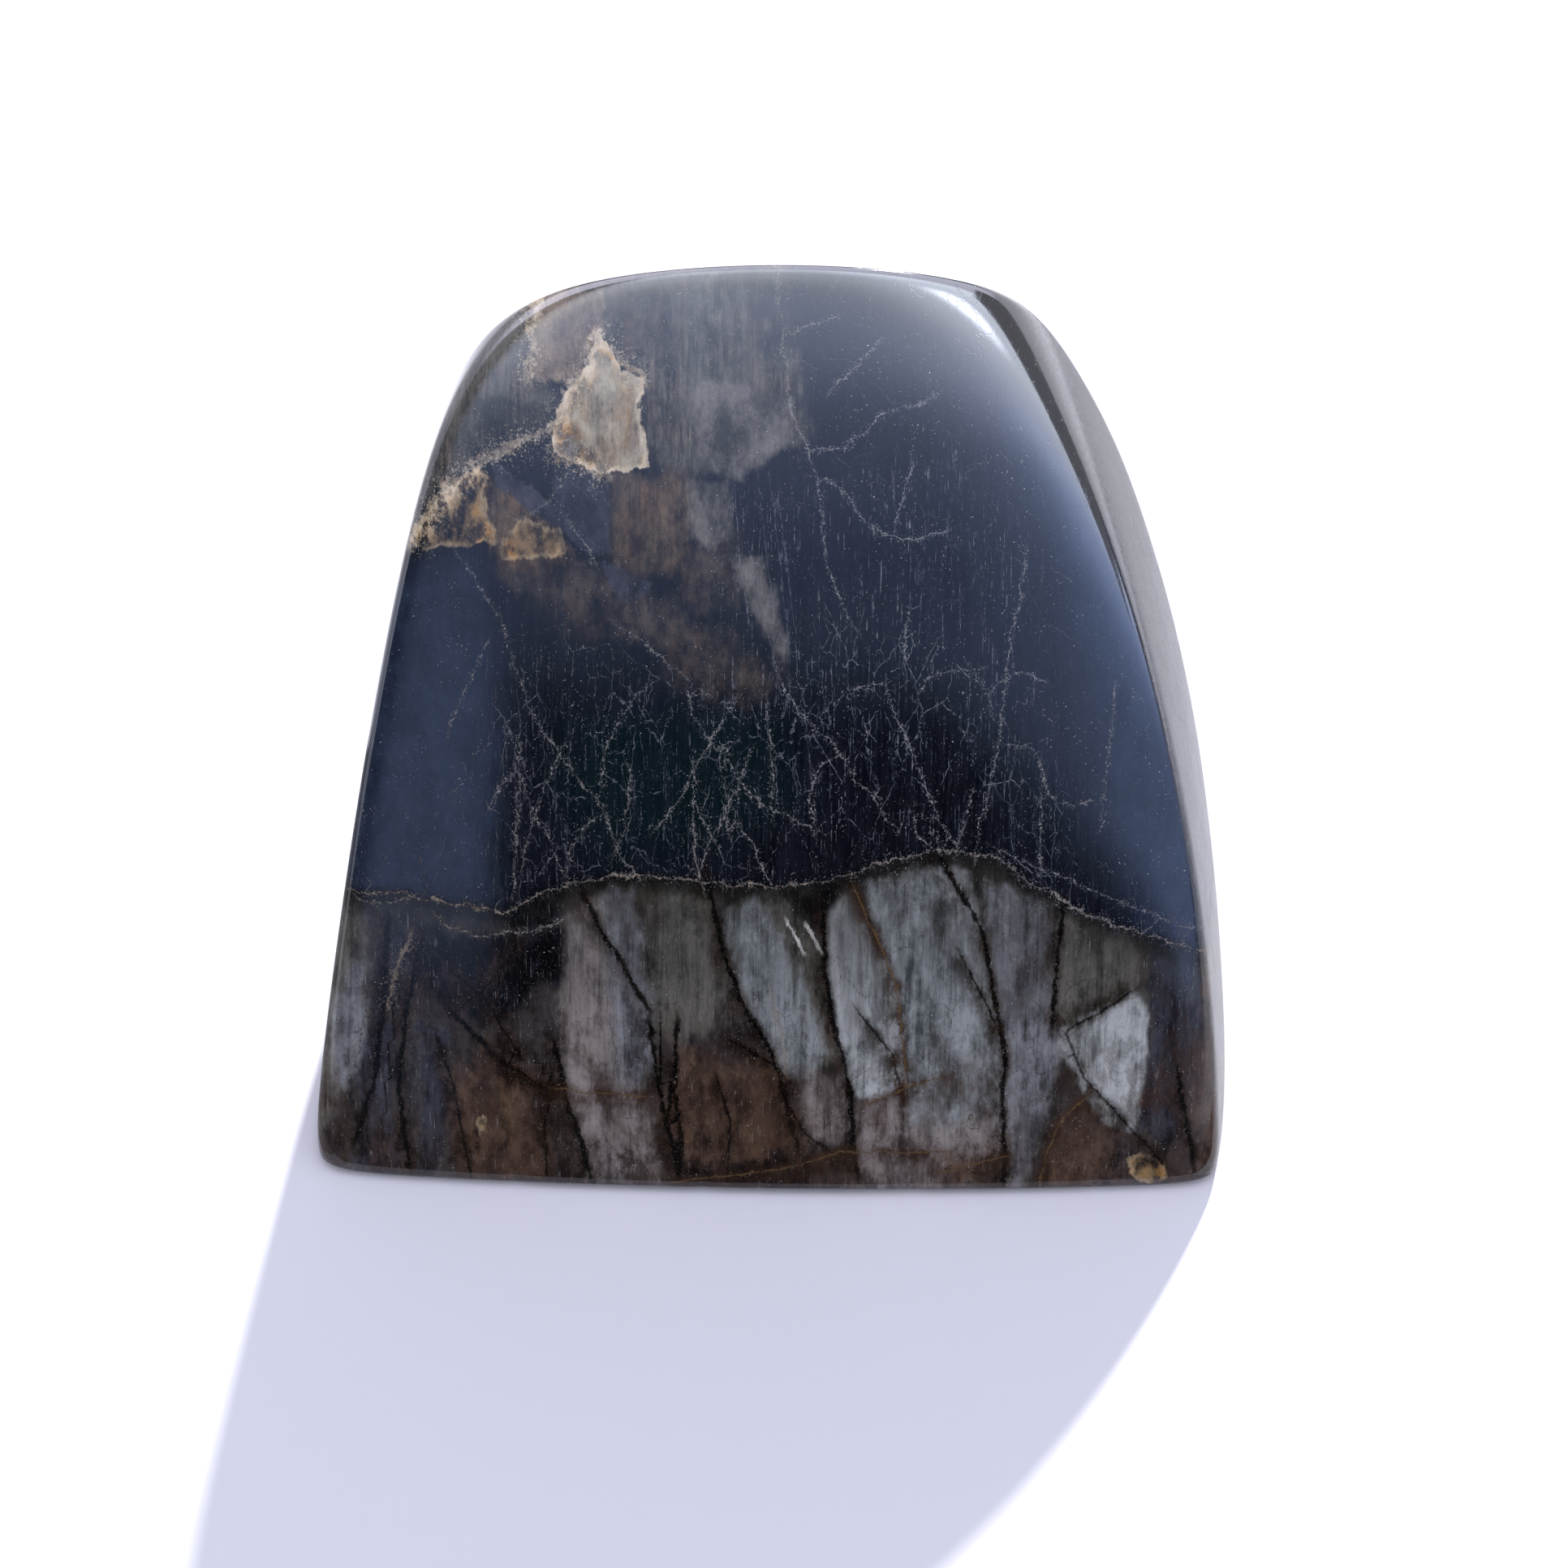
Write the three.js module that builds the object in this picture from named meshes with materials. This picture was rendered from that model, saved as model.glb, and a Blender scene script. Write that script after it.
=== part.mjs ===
import * as THREE from "three";

// A palm-sized labradorite freeform: one piece of dark feldspar, sawn flat underneath so that it
// stands, and ground by hand to a leaning front face, two flanks, a back and a thin crest.
// Millimetres. +X is the viewer's right, +Y points to the back and +Z points up.

// Each ground facet is a slightly crowned plane, and the stone is what lies inside all of them.
//   facing      degrees the facet is turned from the front towards the viewer's right
//   lean        degrees it tips back from upright
//   foot        where its plane meets the ground, measured from the axis
//   height      or, for a facet that closes the top, where its plane crosses the axis
//   across, up  radii of its crown, level and along its slope
//   blend       how it turns into its neighbours: soft, flank or edge
const facets = {
  front: { facing: 0, lean: 24.5, foot: 39, across: 550, up: 640, blend: "soft" },
  brow: { facing: 60, lean: 60, foot: 151.5, blend: "soft" },
  left: { facing: -97, lean: 10.5, foot: 47.6, across: 275, up: 1000, blend: "flank" },
  right: { facing: 89, lean: 17.5, foot: 46.3, across: 275, up: 215, blend: "flank" },
  leftShoulder: { facing: -118, lean: 33.5, foot: 84.5, across: 130, up: 48, blend: "flank" },
  rightShoulder: { facing: 90, lean: 32.1, foot: 93.5, across: 92, up: 60, blend: "flank" },
  top: { facing: 0, lean: 88, height: 85.7, across: 167, blend: "flank" },
  crest: { facing: 180, lean: 62, height: 82.85, across: 300, up: 300, blend: "edge" },
  back: { facing: 180, lean: 16.5, foot: 27, across: 250, up: 400, blend: "edge" },
  backLeft: { facing: -147, lean: 10, foot: 46.5, across: 280, up: 400, blend: "edge" },
  backRight: { facing: 140, lean: 12.5, foot: 39, across: 280, up: 400, blend: "edge" },
  rim: { facing: 50, lean: 38, foot: 73.9, blend: "edge" },
  cornerRight: { facing: 50, lean: -40, foot: 52, blend: "edge" },
  cornerLeft: { facing: -50, lean: -20, foot: 58.2, blend: "edge" },
};
const crownHeight = 33; // the height on the axis that the crowns are centred on
const sharpness = { soft: 12, flank: 10, edge: 40 }; // larger numbers turn more tightly
const sawnEdge = 0.8; // chamfer round the sawn base

const rings = 38;
const columns = 104;
const rays = 720; // rays cast for each ring before its columns are spaced out
const farthest = 90; // no point of the stone is farther than this from its axis
const bendWeight = 14; // how many millimetres of outline one radian of turn counts for
const searches = 14;
const halvings = 34;

function radians(degrees) {
  return (degrees * Math.PI) / 180;
}

function curvature(radius) {
  return radius ? 1 / radius : 0;
}

// A facet as a plane with its own directions: out of the stone, level across, and up the slope.
function groundPlane(facet) {
  const turn = radians(facet.facing);
  const tip = radians(facet.lean);
  const out = new THREE.Vector3(
    Math.sin(turn) * Math.cos(tip),
    -Math.cos(turn) * Math.cos(tip),
    Math.sin(tip),
  );
  const level = new THREE.Vector3(Math.cos(turn), Math.sin(turn), 0);
  const slope = new THREE.Vector3().crossVectors(out, level);
  const offset = facet.height ? facet.height * Math.sin(tip) : facet.foot * Math.cos(tip);
  return {
    out,
    level,
    slope,
    reach: offset - out.z * crownHeight,
    levelBend: curvature(facet.across),
    slopeBend: curvature(facet.up),
    blend: facet.blend,
  };
}

const planes = Object.values(facets).map(groundPlane);
const spot = new THREE.Vector3();

// Below 1 inside the stone, 1 on its surface.
function depthAt(x, y, z) {
  const sums = { soft: 0, flank: 0, edge: 0 };
  spot.set(x, y, z - crownHeight);
  for (const plane of planes) {
    const across = spot.dot(plane.level);
    const up = spot.dot(plane.slope);
    const crown = (plane.levelBend * across ** 2 + plane.slopeBend * up ** 2) / 2;
    const share = Math.max((spot.dot(plane.out) + crown) / plane.reach, 0);
    sums[plane.blend] += share ** sharpness[plane.blend];
  }
  const soft = sums.soft ** (sharpness.edge / sharpness.soft);
  const flank = sums.flank ** (sharpness.edge / sharpness.flank);
  return (sums.edge + soft + flank) ** (1 / sharpness.edge);
}

// The point at height z that lies deepest in the stone, searched for on a shrinking grid.
function deepest(z, start) {
  let best = { x: start.x, y: start.y, depth: depthAt(start.x, start.y, z) };
  let step = 4;
  for (let search = 0; search < searches; search += 1) {
    const middle = best;
    for (let i = -3; i <= 3; i += 1) {
      for (let j = -3; j <= 3; j += 1) {
        const x = middle.x + i * step;
        const y = middle.y + j * step;
        const depth = depthAt(x, y, z);
        if (depth < best.depth) {
          best = { x, y, depth };
        }
      }
    }
    step *= 0.6;
  }
  return best;
}

function summitHeight() {
  let inside = crownHeight;
  let outside = 2 * crownHeight + farthest;
  for (let halving = 0; halving < halvings; halving += 1) {
    const middle = (inside + outside) / 2;
    if (deepest(middle, { x: 0, y: 0 }).depth < 1) {
      inside = middle;
    } else {
      outside = middle;
    }
  }
  return inside;
}

// How far the stone reaches from a point at height z in one direction.
function reachFrom(centre, z, dx, dy) {
  let inside = 0;
  let outside = farthest;
  for (let halving = 0; halving < halvings; halving += 1) {
    const middle = (inside + outside) / 2;
    if (depthAt(centre.x + dx * middle, centre.y + dy * middle, z) < 1) {
      inside = middle;
    } else {
      outside = middle;
    }
  }
  return inside;
}

// A level outline, counter-clockwise from the back, with its columns closer where it bends.
function outlineAt(z, centre) {
  const halfWidth = (reachFrom(centre, z, 1, 0) + reachFrom(centre, z, -1, 0)) / 2;
  const halfDepth = (reachFrom(centre, z, 0, 1) + reachFrom(centre, z, 0, -1)) / 2;
  const fine = [];
  for (let ray = 0; ray < rays; ray += 1) {
    const angle = (ray / rays + 0.25) * 2 * Math.PI;
    const direction = new THREE.Vector2(halfWidth * Math.cos(angle), halfDepth * Math.sin(angle));
    direction.normalize();
    const reach = reachFrom(centre, z, direction.x, direction.y);
    fine.push(new THREE.Vector2(centre.x, centre.y).addScaledVector(direction, reach));
  }
  const travelled = [0];
  for (let index = 0; index < rays; index += 1) {
    const before = fine[(index + rays - 1) % rays];
    const here = fine[index];
    const after = fine[(index + 1) % rays];
    const arriving = here.clone().sub(before);
    const leaving = after.clone().sub(here);
    const turn = Math.abs(Math.atan2(arriving.cross(leaving), arriving.dot(leaving)));
    const size = (halfWidth + halfDepth) / 70;
    travelled.push(travelled[index] + leaving.length() + turn * bendWeight * size);
  }
  const outline = [];
  let index = 0;
  for (let column = 0; column < columns; column += 1) {
    const target = (travelled[rays] * column) / columns;
    while (travelled[index + 1] < target) {
      index += 1;
    }
    const share = (target - travelled[index]) / (travelled[index + 1] - travelled[index]);
    outline.push(fine[index].clone().lerp(fine[(index + 1) % rays], share));
  }
  return outline;
}

function stoneGeometry() {
  const summit = summitHeight();
  const points = [];
  let centre = { x: 0, y: 0 };
  for (let ring = 0; ring < rings; ring += 1) {
    const share = ring / rings;
    const z = ring === 0 ? sawnEdge : summit * Math.sin((share * Math.PI) / 2);
    centre = deepest(z, centre);
    const outline = outlineAt(z, centre);
    if (ring === 0) {
      // The sawn base stands in from the body by the width of its chamfer.
      for (const corner of outline) {
        const inward = new THREE.Vector2(centre.x, centre.y).sub(corner).setLength(sawnEdge);
        points.push(new THREE.Vector3(corner.x + inward.x, corner.y + inward.y, 0));
      }
    }
    for (const corner of outline) {
      points.push(new THREE.Vector3(corner.x, corner.y, z));
    }
  }
  const last = deepest(summit, centre);
  const bottomIndex = points.length;
  const summitIndex = bottomIndex + 1;
  const box = new THREE.Box3().setFromPoints(points);
  const middle = box.getCenter(new THREE.Vector3());
  points.push(new THREE.Vector3(middle.x, middle.y, 0));
  points.push(new THREE.Vector3(last.x, last.y, summit));

  const triangles = [];
  for (let ring = 0; ring < rings; ring += 1) {
    for (let column = 0; column < columns; column += 1) {
      const a = ring * columns + column;
      const b = ring * columns + ((column + 1) % columns);
      const c = a + columns;
      const d = b + columns;
      triangles.push(a, b, d, a, d, c);
    }
  }
  const highest = rings * columns;
  for (let column = 0; column < columns; column += 1) {
    const next = (column + 1) % columns;
    triangles.push(bottomIndex, next, column);
    triangles.push(summitIndex, highest + column, highest + next);
  }

  const geometry = new THREE.BufferGeometry().setFromPoints(points);
  geometry.setIndex(triangles);
  geometry.translate(-middle.x, -middle.y, 0);
  geometry.computeVertexNormals();
  return geometry;
}

const labradorite = new THREE.MeshStandardMaterial({
  color: 0x4a4c52,
  roughness: 0.12,
  metalness: 0,
});

const stone = new THREE.Mesh(stoneGeometry(), labradorite);
stone.name = "stone";

const freeform = new THREE.Group();
freeform.name = "labradorite_freeform";
freeform.add(stone);

export default freeform;
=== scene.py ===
import math

import bpy
import numpy as np
from mathutils import Matrix, Vector


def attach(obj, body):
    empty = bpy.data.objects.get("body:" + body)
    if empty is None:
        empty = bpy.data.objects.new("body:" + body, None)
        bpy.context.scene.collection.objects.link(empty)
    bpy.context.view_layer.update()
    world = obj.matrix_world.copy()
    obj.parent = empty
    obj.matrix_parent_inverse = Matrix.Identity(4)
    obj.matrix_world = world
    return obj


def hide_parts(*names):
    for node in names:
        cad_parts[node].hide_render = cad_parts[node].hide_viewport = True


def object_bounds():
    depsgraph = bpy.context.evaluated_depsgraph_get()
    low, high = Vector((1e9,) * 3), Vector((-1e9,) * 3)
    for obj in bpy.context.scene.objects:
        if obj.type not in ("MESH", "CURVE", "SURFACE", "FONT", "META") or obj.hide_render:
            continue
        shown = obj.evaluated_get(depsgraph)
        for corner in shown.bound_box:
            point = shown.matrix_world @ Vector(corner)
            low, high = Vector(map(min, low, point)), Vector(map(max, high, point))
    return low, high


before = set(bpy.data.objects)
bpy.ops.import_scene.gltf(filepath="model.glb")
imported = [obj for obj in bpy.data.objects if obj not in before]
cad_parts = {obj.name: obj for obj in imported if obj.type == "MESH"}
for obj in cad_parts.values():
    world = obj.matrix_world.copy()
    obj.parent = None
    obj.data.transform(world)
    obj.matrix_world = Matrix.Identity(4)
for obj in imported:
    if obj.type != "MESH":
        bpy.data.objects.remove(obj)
cadLow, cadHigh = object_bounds()

metre = 1000.0  # millimetres in a metre
noiseSeed = 7.3


# Small helpers for node trees

def addNode(tree, kind, inputs=None, **settings):
    node = tree.nodes.new(kind)
    for name, value in settings.items():
        setattr(node, name, value)
    for name, value in (inputs or {}).items():
        feed(tree, node.inputs[name], value)
    return node


def feed(tree, socket, value):
    if isinstance(value, bpy.types.NodeSocket):
        tree.links.new(value, socket)
    else:
        socket.default_value = value


def calc(tree, operation, *values):
    return addNode(tree, "ShaderNodeMath", dict(enumerate(values)), operation=operation).outputs[0]


def times(tree, first, *others):
    for value in others:
        first = calc(tree, "MULTIPLY", first, value)
    return first


def plus(tree, first, *others):
    for value in others:
        first = calc(tree, "ADD", first, value)
    return first


def vectorCalc(tree, operation, *values):
    node = addNode(tree, "ShaderNodeVectorMath", dict(enumerate(values)), operation=operation)
    return node.outputs["Value" if operation in ("DOT_PRODUCT", "LENGTH") else "Vector"]


def scaled(tree, vector, share):
    node = addNode(tree, "ShaderNodeVectorMath", {0: vector, "Scale": share}, operation="SCALE")
    return node.outputs[0]


def mixValue(tree, factor, first, second):
    return addNode(tree, "ShaderNodeMix", {0: factor, 2: first, 3: second}, data_type="FLOAT").outputs[0]


def split(tree, vector):
    return addNode(tree, "ShaderNodeSeparateXYZ", {0: vector}).outputs


def ramp(tree, value, low, high, start=0.0, end=1.0, kind="LINEAR"):
    return addNode(tree, "ShaderNodeMapRange", {
        "Value": value, "From Min": low, "From Max": high, "To Min": start, "To Max": end},
        interpolation_type=kind).outputs[0]


def ease(tree, value, low, high, start=0.0, end=1.0):
    return ramp(tree, value, low, high, start, end, "SMOOTHSTEP")


def combine(tree, x, y, z):
    return addNode(tree, "ShaderNodeCombineXYZ", {"X": x, "Y": y, "Z": z}).outputs[0]


def addGroup(tree, group, inputs):
    node = tree.nodes.new("GeometryNodeGroup" if group.bl_idname == "GeometryNodeTree" else "ShaderNodeGroup")
    node.node_tree = group
    for name, value in inputs.items():
        feed(tree, node.inputs[name], value)
    return node


def makeGroup(name, kind, inputs, outputs):
    tree = bpy.data.node_groups.new(name, kind)
    for title, socketType, value in inputs:
        socket = tree.interface.new_socket(title, in_out="INPUT", socket_type=socketType)
        if value is not None:
            socket.default_value = value
    for title, socketType in outputs:
        tree.interface.new_socket(title, in_out="OUTPUT", socket_type=socketType)
    return tree, tree.nodes.new("NodeGroupInput").outputs, tree.nodes.new("NodeGroupOutput").inputs


def startMaterial(name):
    material = bpy.data.materials.new(name)
    material.use_nodes = True
    material.node_tree.nodes.clear()
    return material, material.node_tree


def finishTree(tree, shader, kind="ShaderNodeOutputMaterial"):
    tree.links.new(shader.outputs[0], addNode(tree, kind).inputs["Surface"])


# The stone's shape: the same ground facets as the solid, in millimetres and degrees

stone = {
    "facets": {
        "front": {"facing": 0, "lean": 24.5, "foot": 39, "across": 550, "up": 640, "blend": "soft"},
        "brow": {"facing": 60, "lean": 60, "foot": 151.5, "blend": "soft"},
        "left": {"facing": -97, "lean": 10.5, "foot": 47.6, "across": 275, "up": 1000, "blend": "flank"},
        "right": {"facing": 89, "lean": 17.5, "foot": 46.3, "across": 275, "up": 215, "blend": "flank"},
        "leftShoulder": {"facing": -118, "lean": 33.5, "foot": 84.5, "across": 130, "up": 48,
                         "blend": "flank"},
        "rightShoulder": {"facing": 90, "lean": 32.1, "foot": 93.5, "across": 92, "up": 60, "blend": "flank"},
        "top": {"facing": 0, "lean": 88, "height": 85.7, "across": 167, "blend": "flank"},
        "crest": {"facing": 180, "lean": 62, "height": 82.85, "across": 300, "up": 300, "blend": "edge"},
        "back": {"facing": 180, "lean": 16.5, "foot": 27, "across": 250, "up": 400, "blend": "edge"},
        "backLeft": {"facing": -147, "lean": 10, "foot": 46.5, "across": 280, "up": 400, "blend": "edge"},
        "backRight": {"facing": 140, "lean": 12.5, "foot": 39, "across": 280, "up": 400, "blend": "edge"},
        "rim": {"facing": 50, "lean": 38, "foot": 73.9, "blend": "edge"},
        "cornerRight": {"facing": 50, "lean": -40, "foot": 52, "blend": "edge"},
        "cornerLeft": {"facing": -50, "lean": -20, "foot": 58.2, "blend": "edge"},
    },
    "sharpness": {"soft": 12, "flank": 10, "edge": 40},
    "crownHeight": 33,
    "sawnEdge": 0.8,
    "farthest": 90,       # no point is farther than this from the spine
    "halvings": 26,
    "footRatio": 0.70,    # depth against width of a level slice, at the foot and at the crest
    "crestRatio": 0.10,
    "columns": 370,
    "rings": 246,
    "ringCrowding": 1.5,  # above 1 the rings lie closer towards the crest
    "lowestRing": 1.2,    # clear of the chamfer
    "baseRings": (0.25, 0.5, 0.75, 0.92, 1.0),
    "frontShare": 1.0,    # extra columns on the front face
    "cornerShare": 2.2,   # extra columns where the flanks turn
    "cornerWidth": 0.12,  # radians to each side of such a turn
    "spineFoot": (-3.0, -6.0, 0.0),  # where the middle line of the level slices starts
    "rippleDepth": 0.05,  # the polisher's hand leaves the faces very slightly wavy
    "rippleSize": 13,
    "chipDepth": 0.5,     # small chips out of the sawn edge
    "chipSize": 3.2,
    "seed": 4.0,
    "axisShift": (3.337, 6.022, 0.0),  # from the facets' axis to the middle of the outline
}


def facetOffset(facet):
    lean = math.radians(facet["lean"])
    if "height" in facet:
        return facet["height"] * math.sin(lean)
    return facet["foot"] * math.cos(lean)


def bend(radius):
    return 1 / radius if radius else 0.0


def groundFacetGroup():
    tree, given, made = makeGroup(
        "groundFacet", "GeometryNodeTree",
        [("Point", "NodeSocketVector", None), ("Facing", "NodeSocketFloat", 0.0),
         ("Lean", "NodeSocketFloat", 20.0), ("Offset", "NodeSocketFloat", 40.0),
         ("Across Bend", "NodeSocketFloat", 0.0), ("Up Bend", "NodeSocketFloat", 0.0),
         ("Crown Height", "NodeSocketFloat", 33.0)],
        [("Share", "NodeSocketFloat")])
    turn = calc(tree, "RADIANS", given["Facing"])
    tip = calc(tree, "RADIANS", given["Lean"])
    sinTurn, cosTurn = calc(tree, "SINE", turn), calc(tree, "COSINE", turn)
    sinTip, cosTip = calc(tree, "SINE", tip), calc(tree, "COSINE", tip)
    out = combine(tree, times(tree, sinTurn, cosTip), times(tree, cosTurn, -1.0, cosTip), sinTip)
    level = combine(tree, cosTurn, sinTurn, 0.0)
    slope = vectorCalc(tree, "CROSS_PRODUCT", out, level)
    point = vectorCalc(tree, "SUBTRACT", given["Point"], combine(tree, 0.0, 0.0, given["Crown Height"]))
    across = vectorCalc(tree, "DOT_PRODUCT", point, level)
    up = vectorCalc(tree, "DOT_PRODUCT", point, slope)
    straight = vectorCalc(tree, "DOT_PRODUCT", point, out)
    acrossCrown = times(tree, across, across, given["Across Bend"])
    upCrown = times(tree, up, up, given["Up Bend"])
    crown = calc(tree, "DIVIDE", plus(tree, acrossCrown, upCrown), 2.0)
    reach = calc(tree, "SUBTRACT", given["Offset"], times(tree, sinTip, given["Crown Height"]))
    share = calc(tree, "DIVIDE", plus(tree, straight, crown), reach)
    feed(tree, made["Share"], calc(tree, "MAXIMUM", share, 0.0))
    return tree


def stoneDepthGroup():
    # below 1 inside the stone, 1 on its surface
    facetGroup = groundFacetGroup()
    tree, given, made = makeGroup(
        "stoneDepth", "GeometryNodeTree",
        [("Point", "NodeSocketVector", None),
         ("Soft Sharpness", "NodeSocketFloat", 12.0), ("Flank Sharpness", "NodeSocketFloat", 10.0),
         ("Edge Sharpness", "NodeSocketFloat", 40.0), ("Crown Height", "NodeSocketFloat", 33.0)],
        [("Depth", "NodeSocketFloat")])
    sums = {}
    for name, facet in stone["facets"].items():
        node = addGroup(tree, facetGroup, {
            "Point": given["Point"], "Crown Height": given["Crown Height"],
            "Facing": facet["facing"], "Lean": facet["lean"], "Offset": facetOffset(facet),
            "Across Bend": bend(facet.get("across")), "Up Bend": bend(facet.get("up"))})
        node.label = name
        kind = facet["blend"]
        power = calc(tree, "POWER", node.outputs["Share"], given[kind.capitalize() + " Sharpness"])
        sums[kind] = plus(tree, sums[kind], power) if kind in sums else power
    total = sums["edge"]
    for kind in ("soft", "flank"):
        ratio = calc(tree, "DIVIDE", given["Edge Sharpness"], given[kind.capitalize() + " Sharpness"])
        total = plus(tree, total, calc(tree, "POWER", sums[kind], ratio))
    depth = calc(tree, "POWER", total, calc(tree, "DIVIDE", 1.0, given["Edge Sharpness"]))
    feed(tree, made["Depth"], depth)
    return tree


def grindStoneTree():
    # grinds a plain blank, a closed tube of rings, down to the stone, and then ripples and chips it
    depthGroup = stoneDepthGroup()
    tree, given, made = makeGroup(
        "grindStone", "GeometryNodeTree",
        [("Geometry", "NodeSocketGeometry", None), ("Height", "NodeSocketFloat", 80.0),
         ("Spine Foot", "NodeSocketVector", None), ("Summit", "NodeSocketVector", None),
         ("Farthest", "NodeSocketFloat", 90.0), ("Sawn Edge", "NodeSocketFloat", 0.8),
         ("Foot Ratio", "NodeSocketFloat", 0.7), ("Crest Ratio", "NodeSocketFloat", 0.1),
         ("Ripple Depth", "NodeSocketFloat", 0.05), ("Ripple Size", "NodeSocketFloat", 12.0),
         ("Chip Depth", "NodeSocketFloat", 0.4), ("Chip Size", "NodeSocketFloat", 3.0),
         ("Seed", "NodeSocketFloat", 0.0), ("Material", "NodeSocketMaterial", None)],
        [("Geometry", "NodeSocketGeometry")])
    blank = split(tree, addNode(tree, "GeometryNodeInputPosition").outputs[0])
    radius = vectorCalc(tree, "LENGTH", combine(tree, blank["X"], blank["Y"], 0.0))
    height = times(tree, blank["Z"], given["Height"])
    solvedHeight = calc(tree, "MAXIMUM", height, given["Sawn Edge"])
    share = calc(tree, "DIVIDE", solvedHeight, given["Height"])
    spine = addNode(tree, "ShaderNodeMix", {0: share, 4: given["Spine Foot"], 5: given["Summit"]},
                    data_type="VECTOR").outputs[1]
    ratio = mixValue(tree, share, given["Foot Ratio"], given["Crest Ratio"])
    direction = vectorCalc(tree, "NORMALIZE", combine(tree, blank["X"], times(tree, blank["Y"], ratio), 0.0))

    # halving search along each spoke for the depth of 1
    begin = tree.nodes.new("GeometryNodeRepeatInput")
    end = tree.nodes.new("GeometryNodeRepeatOutput")
    begin.pair_with_output(end)
    end.repeat_items.clear()
    for name in ("Inside", "Outside"):
        end.repeat_items.new("FLOAT", name)
    begin.inputs["Iterations"].default_value = stone["halvings"]
    begin.inputs["Inside"].default_value = 0.0
    tree.links.new(given["Farthest"], begin.inputs["Outside"])
    inside, outside = begin.outputs["Inside"], begin.outputs["Outside"]
    middle = calc(tree, "DIVIDE", plus(tree, inside, outside), 2.0)
    point = vectorCalc(tree, "ADD", spine, scaled(tree, direction, middle))
    depth = addGroup(tree, depthGroup, {"Point": point})
    for kind, value in stone["sharpness"].items():
        depth.inputs[kind.capitalize() + " Sharpness"].default_value = value
    depth.inputs["Crown Height"].default_value = stone["crownHeight"]
    within = calc(tree, "LESS_THAN", depth.outputs["Depth"], 1.0)
    feed(tree, end.inputs["Inside"], mixValue(tree, within, inside, middle))
    feed(tree, end.inputs["Outside"], mixValue(tree, within, middle, outside))

    # the base stands in from the body by the width of its chamfer
    chamfer = calc(tree, "SUBTRACT", solvedHeight, height)
    inset = calc(tree, "SUBTRACT", end.outputs["Inside"], chamfer)
    flat = split(tree, vectorCalc(tree, "ADD", spine, scaled(tree, direction, times(tree, inset, radius))))
    spot = combine(tree, flat["X"], flat["Y"], height)
    ground = addNode(tree, "GeometryNodeSetPosition", {"Geometry": given["Geometry"], "Position": spot})

    # ripples of the polish fade out towards the base and the crest, and chips bite only at the base
    here = addNode(tree, "GeometryNodeInputPosition").outputs[0]
    normal = addNode(tree, "GeometryNodeInputNormal").outputs[0]
    level = split(tree, here)["Z"]
    swells = {}
    for name, detail, roughness in (("Ripple", 1.0, 0.4), ("Chip", 2.0, 0.6)):
        size = given[name + " Size"]
        swells[name] = addNode(tree, "ShaderNodeTexNoise", {
            "Vector": vectorCalc(tree, "DIVIDE", here, combine(tree, size, size, size)), "W": given["Seed"],
            "Scale": 1.0, "Detail": detail, "Roughness": roughness}, noise_dimensions="4D").outputs[0]
    rise = ease(tree, level, 1.0, 7.0)
    crest = ease(tree, level, calc(tree, "SUBTRACT", given["Height"], 6.0),
                 calc(tree, "SUBTRACT", given["Height"], 0.5), 1.0, 0.0)
    wave = times(tree, times(tree, swells["Ripple"], given["Ripple Depth"]), times(tree, rise, crest))
    edgeOnly = times(tree, ramp(tree, level, 0.2, 2.2, 1.0, 0.0), calc(tree, "GREATER_THAN", level, 0.05))
    chip = times(tree, ramp(tree, swells["Chip"], 0.56, 0.72), edgeOnly, given["Chip Depth"])
    sink = times(tree, plus(tree, wave, chip), -1.0)
    worn = addNode(tree, "GeometryNodeSetPosition", {
        "Geometry": ground.outputs[0], "Offset": scaled(tree, normal, sink),
        "Selection": addNode(tree, "FunctionNodeCompare", {0: level, 1: 0.05}).outputs[0]})
    small = addNode(tree, "GeometryNodeTransform", {
        "Geometry": worn.outputs[0], "Scale": (1 / metre, 1 / metre, 1 / metre)})
    smooth = addNode(tree, "GeometryNodeSetShadeSmooth", {"Geometry": small.outputs[0]})
    real = addNode(tree, "GeometryNodeRealizeInstances", {"Geometry": smooth.outputs[0]})
    finished = addNode(tree, "GeometryNodeSetMaterial", {
        "Geometry": real.outputs[0], "Material": given["Material"]})
    tree.links.new(finished.outputs[0], made["Geometry"])
    return tree


def spokeAngles():
    # counter-clockwise from the back, with more spokes over the front face and where flanks turn
    fine = np.linspace(0, 2 * np.pi, 4001)
    angle = fine + np.pi / 2
    weight = 1 + stone["frontShare"] * (np.sin(angle) < -0.65)
    for corner in (45, 135, 225, 315):
        away = np.angle(np.exp(1j * (angle - math.radians(corner))))
        weight = weight + stone["cornerShare"] * np.exp(-(away / stone["cornerWidth"]) ** 2)
    travelled = np.concatenate([[0], np.cumsum((weight[1:] + weight[:-1]) / 2)])
    wanted = np.arange(stone["columns"]) / stone["columns"] * travelled[-1]
    return np.interp(wanted, travelled, angle)


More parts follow.
